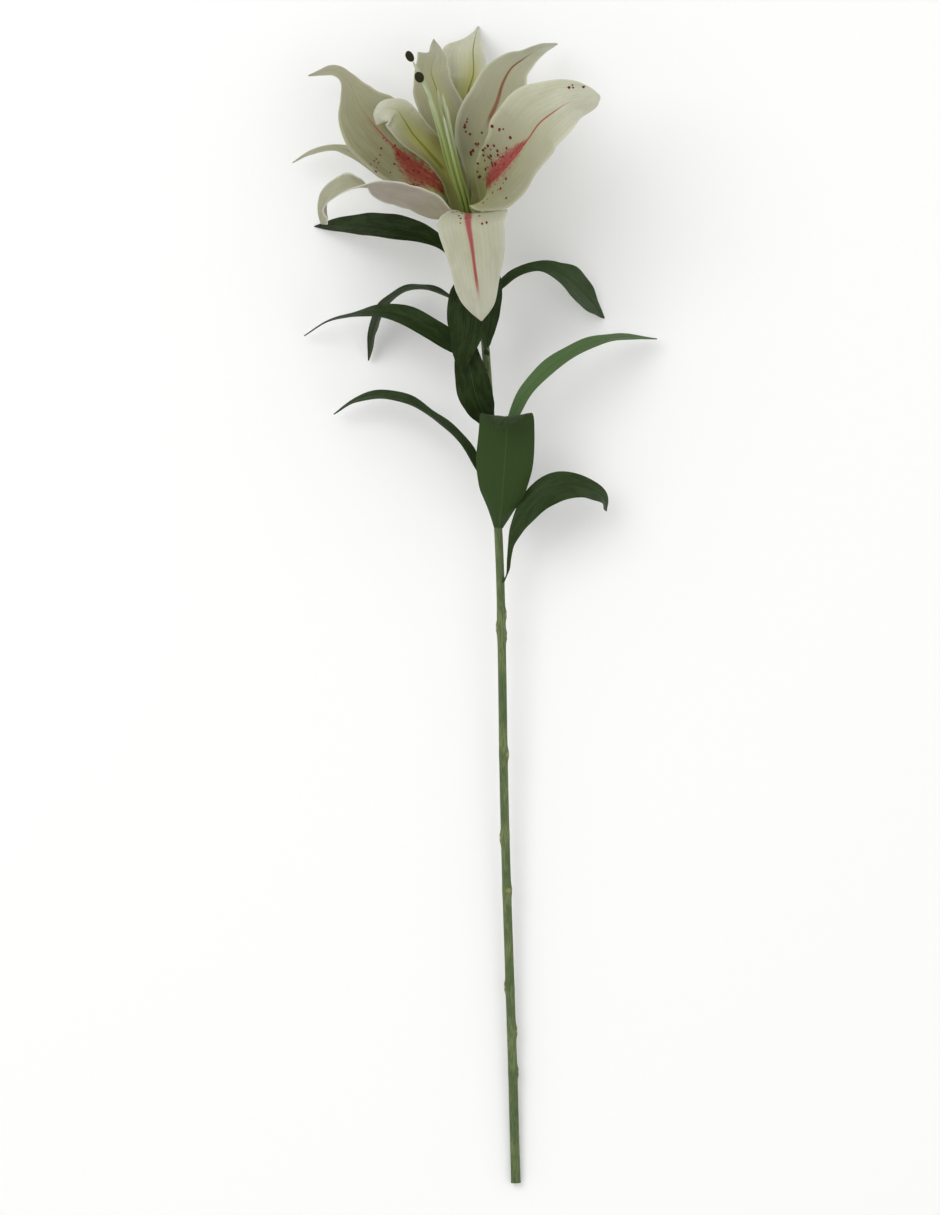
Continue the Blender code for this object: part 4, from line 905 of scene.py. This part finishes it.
def spot_domes(grid, groups, draw):
    """Low raised dots on the inner face, drawn out along the tepal, in the given groups."""
    along = unit(np.gradient(grid, axis=0))
    side = np.gradient(grid, axis=1)
    normal = unit(np.cross(along, side))
    side = np.cross(normal, along)
    rows, columns = grid.shape[:2]
    turn = turns(SPOT_SIDES)[:, None]
    domes = []
    for count, (low, high), (left, right), size in groups:
        for _ in range(count):
            i = round(draw.uniform(low, high) * (rows - 1))
            j = round((draw.uniform(left, right) + 1) / 2 * (columns - 1))
            radius = size * MM * draw.uniform(*SPOT_SIZES)
            thickness = TEPAL_THICKNESS * (1 - EDGE_THINNING * (2 * j / (columns - 1) - 1) ** 4)
            centre = grid[i, j] + normal[i, j] * thickness / 2
            for reach, height in SPOT_RINGS:
                flat = side[i, j] * np.sin(turn) + along[i, j] * np.cos(turn) * SPOT_STRETCH
                domes.append(centre + flat * radius * reach + normal[i, j] * height * MM)
    return np.array(domes).reshape(-1, 3)


draw = np.random.default_rng(SPOT_SEED)
for name, spec in TEPALS.items():
    grid, half, length = tepal_grid(spec, TEPAL_ROWS, TEPAL_COLUMNS)
    points, faces, fields = blade_shell(grid, half, length, TEPAL_THICKNESS)
    domes = spot_domes(grid, TEPAL_SPOTS.get(name, ()), draw)
    dome_points = len(SPOT_RINGS) * SPOT_SIDES
    for first in range(len(points), len(points) + len(domes), dome_points):
        faces += quads(len(SPOT_RINGS), SPOT_SIDES, closed=True, first=first)
    spot = np.concatenate((np.zeros(len(points)), np.ones(len(domes))))
    for field_name in fields:
        fields[field_name] = np.concatenate((fields[field_name], np.zeros((len(domes), 3))))
    tepal = add_piece(name + "_surface", np.concatenate((points, domes)), faces,
                      tepal_finish(name, **TEPAL_MARKS[name]), crease=BLADE_CREASE, spot=spot, **fields)
    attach(tepal, "root")
    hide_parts(name)

# Ovary, style and filaments: one green bundle that grows out of the middle of the receptacle. The
# strands lie together and part near their ends; five of the six filaments have lost their anthers.
OVARY_RADIUS = 0.0026
OVARY_LENGTH = 0.020
OVARY_PROFILE = (0.8, 1.0, 1.0, 1.0, 0.85, 0.45)
OVARY_LOBES, OVARY_LOBE_DEPTH = 3, 0.10
OVARY_RISE = 0.2
STYLE_RADIUS = 0.0013
FILAMENT_RADIUS = 0.0011
FILAMENT_RING = 0.0025
BUNDLE_HEIGHTS = (0.005, 0.017, 0.030)
STRAND_TAPER = (1.05, 0.8)
STRAND_RINGS, STRAND_SIDES = 90, 14
TIP_RINGS = 5
STRANDS_APART = 20
KNOB_SINK = 0.0010
STYLE_POINTS = ((-13, 262, 76), (-21, 288, 88), (-29, 309, 96), (-37, 323.5, 100))
# Each filament: the side of the ovary that it stands on, in degrees, and the points it passes through
FILAMENTS = (
    (300, ((-14, 260, 82), (-21, 285, 97), (-27, 302, 105), (-31.5, 310.5, 108))),
    (240, ((-16, 262, 72), (-22.5, 286, 80), (-28, 304, 84))),
    (180, ((-13, 265, 71), (-18.5, 289, 80), (-22.5, 309, 83))),
    (120, ((-11, 265, 74), (-16, 288, 83), (-19.5, 306, 87))),
    (60, ((-9.5, 262, 79), (-14.5, 284, 88), (-17.5, 299, 93))),
    (0, ((-10.5, 258, 83), (-15.5, 277, 93), (-19, 292, 100))),
)
FILAMENT_GREEN = (0.25, 0.31, 0.09, 1)
FILAMENT_DEEP = (0.23, 0.29, 0.065, 1)
FILAMENT_PALE = (0.45, 0.49, 0.34, 1)


def filament_finish():
    """Fresh green strands, deeper at the foot and paler to the tip, with a fine lengthwise grain."""
    made, tree, shader = new_material("filament_green", 0.5, shine=0.3)
    rise = parts(tree, field(tree, "share"))["Z"]
    fibres = grain(tree, 2.4, 16.0)
    colour = tint(tree, ramp(tree, rise, 0.1, 0.55), FILAMENT_DEEP, FILAMENT_GREEN)
    colour = tint(tree, ramp(tree, rise, 0.55, 1.0), colour, FILAMENT_PALE)
    colour = tint(tree, times(tree, fibres, 0.4), colour, FILAMENT_DEEP)
    roughness = ramp(tree, fibres, 0.1, 0.9, 0.38, 0.55)
    join_skin(tree, shader, colour, roughness, fibres, BLADE_RELIEF)
    return made


def strand_line(ring, turn, points, sink):
    """The line of a strand from the flower's base through its own points, into its knob by sink."""
    start = [FLOWER_BASE + FLOWER_AXIS * height + radial(turn) * ring for height in BUNDLE_HEIGHTS]
    points = metres(points)
    end = [points[-1] + unit(points[-1] - points[-2]) * sink] if sink else []
    return smooth_line([*start, *points, *end], STRAND_RINGS)[0]


def add_stamens():
    """The lobed ovary, the style and the six filaments as round strands with rounded ends."""
    ovary = np.array([FLOWER_BASE + FLOWER_AXIS * height
                      for height in np.linspace(0, OVARY_LENGTH, STRAND_RINGS)])
    climb = np.linspace(0, 1, STRAND_RINGS)
    body = OVARY_RADIUS * np.interp(climb, np.linspace(0, 1, len(OVARY_PROFILE)), OVARY_PROFILE)
    turn = turns(STRAND_SIDES)
    strands = [(ovary, body[:, None] * (1 + OVARY_LOBE_DEPTH * np.cos(OVARY_LOBES * turn)))]
    taper = np.linspace(*STRAND_TAPER, STRAND_RINGS)[:, None] * np.ones(STRAND_SIDES)
    strands.append((strand_line(0, 0, STYLE_POINTS, KNOB_SINK), STYLE_RADIUS * taper))
    for number, (side, points) in enumerate(FILAMENTS):
        line = strand_line(FILAMENT_RING, side, points, KNOB_SINK if number == 0 else 0)
        strands.append((line, FILAMENT_RADIUS * taper))
    tip = np.cos(np.linspace(0, math.pi / 2, TIP_RINGS + 1))
    strand_points = STRAND_RINGS * STRAND_SIDES
    rings, places, shares, faces = [], [], [], []
    for number, (line, radii) in enumerate(strands):
        radii = radii.copy()
        radii[-TIP_RINGS - 1:] *= tip[:, None]
        radii[0] = 0
        points, _, place = tube(line, radii, STRAND_SIDES, FLOWER_RIGHT)
        faces += quads(STRAND_RINGS, STRAND_SIDES, closed=True, first=number * strand_points)
        rings.append(points.reshape(-1, 3))
        places.append(place.reshape(-1, 3) + [STRANDS_APART * (number + 1), 0, 0])
        rise = (climb * (OVARY_RISE if number == 0 else 1))[:, None] * np.ones(STRAND_SIDES)
        shares.append(np.stack((0 * rise, 0 * rise, rise), axis=-1).reshape(-1, 3))
    return add_piece("stamens_and_style_surface", np.concatenate(rings), faces, filament_finish(),
                     place=np.concatenate(places), share=np.concatenate(shares))


stamens = add_stamens()
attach(stamens, "root")
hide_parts("stamens_and_style")

# Stigma and anther: the two dark knobs at the ends of the style and of one filament. The stigma is a
# sticky three-lobed head, the anther a grooved pouch of pollen, and both are rough with grains.
STIGMA_SIZE = (0.0050, 0.0050, 0.0070)
ANTHER_SIZE = (0.0054, 0.0050, 0.0068)
KNOB_RINGS, KNOB_SIDES = 40, 48
STIGMA_LOBES, ANTHER_LOBES = (3, 0.22), (2, 0.15)
GRAIN_HEIGHT = 0.035
DUST_RELIEF = 0.00012
KNOB_BROWN = (0.022, 0.019, 0.009, 1)
KNOB_DUST = (0.050, 0.045, 0.020, 1)
KNOB_SEED = 3


def knob_finish(name):
    """Near-black brown with paler grains of pollen on it."""
    made, tree, shader = new_material(name + "_brown", 0.8, shine=0.08)
    dust = grain(tree, 2.6, 1.0)
    colour = tint(tree, ramp(tree, dust, 0.35, 0.95, 0.0, 0.8), KNOB_BROWN, KNOB_DUST)
    join_skin(tree, shader, colour, ramp(tree, dust, 0.1, 0.9, 0.6, 0.9), dust, DUST_RELIEF)
    return made


def add_knob(name, strand_points, size, lobes, lobe_depth, draw):
    """An egg-shaped head in line with its strand, with rounded lobes and a grainy skin."""
    before, tip = metres(strand_points[-2:])
    way = unit(tip - before)
    polar = np.linspace(0, math.pi, KNOB_RINGS)[:, None]
    turn = turns(KNOB_SIDES)[None, :]
    swell = 1 - lobe_depth * (1 - np.abs(np.cos(lobes * turn / 2))) * np.sin(polar) ** 0.5
    swell = swell * (1 + GRAIN_HEIGHT * draw.standard_normal((KNOB_RINGS, KNOB_SIDES)) * np.sin(polar))
    ball = np.stack((np.sin(polar) * np.cos(turn) * swell * size[0] / 2,
                     np.sin(polar) * np.sin(turn) * swell * size[1] / 2,
                     -np.cos(polar) * np.ones_like(turn) * size[2] / 2), axis=-1)
    turned = np.array(Vector(way).to_track_quat("Z", "Y").to_matrix())
    points = ball @ turned.T + tip + way * (size[2] / 2 + SEAT_GAP)
    return add_piece(name + "_surface", points, quads(KNOB_RINGS, KNOB_SIDES, closed=True),
                     knob_finish(name), place=ball.reshape(-1, 3) / MM)


draw = np.random.default_rng(KNOB_SEED)
stigma = add_knob("stigma", STYLE_POINTS, STIGMA_SIZE, *STIGMA_LOBES, draw)
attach(stigma, "root")
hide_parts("stigma")
anther = add_knob("anther", FILAMENTS[0][1], ANTHER_SIZE, *ANTHER_LOBES, draw)
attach(anther, "root")
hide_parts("anther")

# Table: a plain pale surface that the stem lies on, painted matt white. It is wide enough for every
# view and isn't part of the flower.
TABLE_SIZE = 9.0
TABLE_WHITE = (0.95, 0.95, 0.94, 1)
TABLE_GREY = (0.88, 0.88, 0.87, 1)


def table_finish():
    """Matt white paint with a very faint unevenness."""
    made, tree, shader = new_material("table_white", 0.85)
    noise = place_node(tree, "ShaderNodeTexNoise", {"Scale": 3.0, "Detail": 2.0}).outputs["Fac"]
    colour = tint(tree, ramp(tree, noise, 0.3, 0.7, 0.0, 0.05), TABLE_WHITE, TABLE_GREY)
    tree.links.new(colour, shader["Base Color"])
    return made


corners = np.array([(-1, -1, 0), (1, -1, 0), (1, 1, 0), (-1, 1, 0)]) * TABLE_SIZE / 2
table = add_piece("table_top", corners, [(0, 1, 2, 3)], table_finish())

# Light: a broad soft box over the flower's left and a weaker one over the stem's right, under an even
# white sky. The boxes don't show to the camera.
SKY_STRENGTH = 0.78
LIT_PLACE = (0, 0.1, 0)
# Each soft box: its place, its width and its power
SOFT_BOXES = (((-1.3, 1.0, 2.4), 1.8, 24), ((1.3, -0.6, 2.4), 1.8, 6))


def add_soft_box(place, size, power):
    lamp = bpy.data.lights.new("soft_box", "AREA")
    lamp.shape = "DISK"
    lamp.size = size
    lamp.energy = power
    box = bpy.data.objects.new("soft_box", lamp)
    box.location = place
    box.rotation_euler = (Vector(LIT_PLACE) - Vector(place)).to_track_quat("-Z", "Y").to_euler()
    box.visible_camera = False
    bpy.context.scene.collection.objects.link(box)


for place, size, power in SOFT_BOXES:
    add_soft_box(place, size, power)
sky = bpy.data.worlds.new("studio")
sky.use_nodes = True
sky.node_tree.nodes["Background"].inputs["Color"].default_value = (1, 1, 1, 1)
sky.node_tree.nodes["Background"].inputs["Strength"].default_value = SKY_STRENGTH
bpy.context.scene.world = sky
bpy.context.scene.view_settings.view_transform = "Standard"

# Camera: looks straight down from over 4 m with a long lens, with the flower to the top, so that the
# stem on the table shows as the upright one does in the photograph.
CAMERA_PLACE = (-0.0030, -0.0018, 4.124)
CAMERA_LENS, CAMERA_SENSOR = 200, 36
camera = bpy.data.objects.new("camera", bpy.data.cameras.new("camera"))
camera.data.lens = CAMERA_LENS
camera.data.sensor_width = CAMERA_SENSOR
camera.data.clip_end = 20
camera.location = CAMERA_PLACE
bpy.context.scene.collection.objects.link(camera)
bpy.context.scene.camera = camera
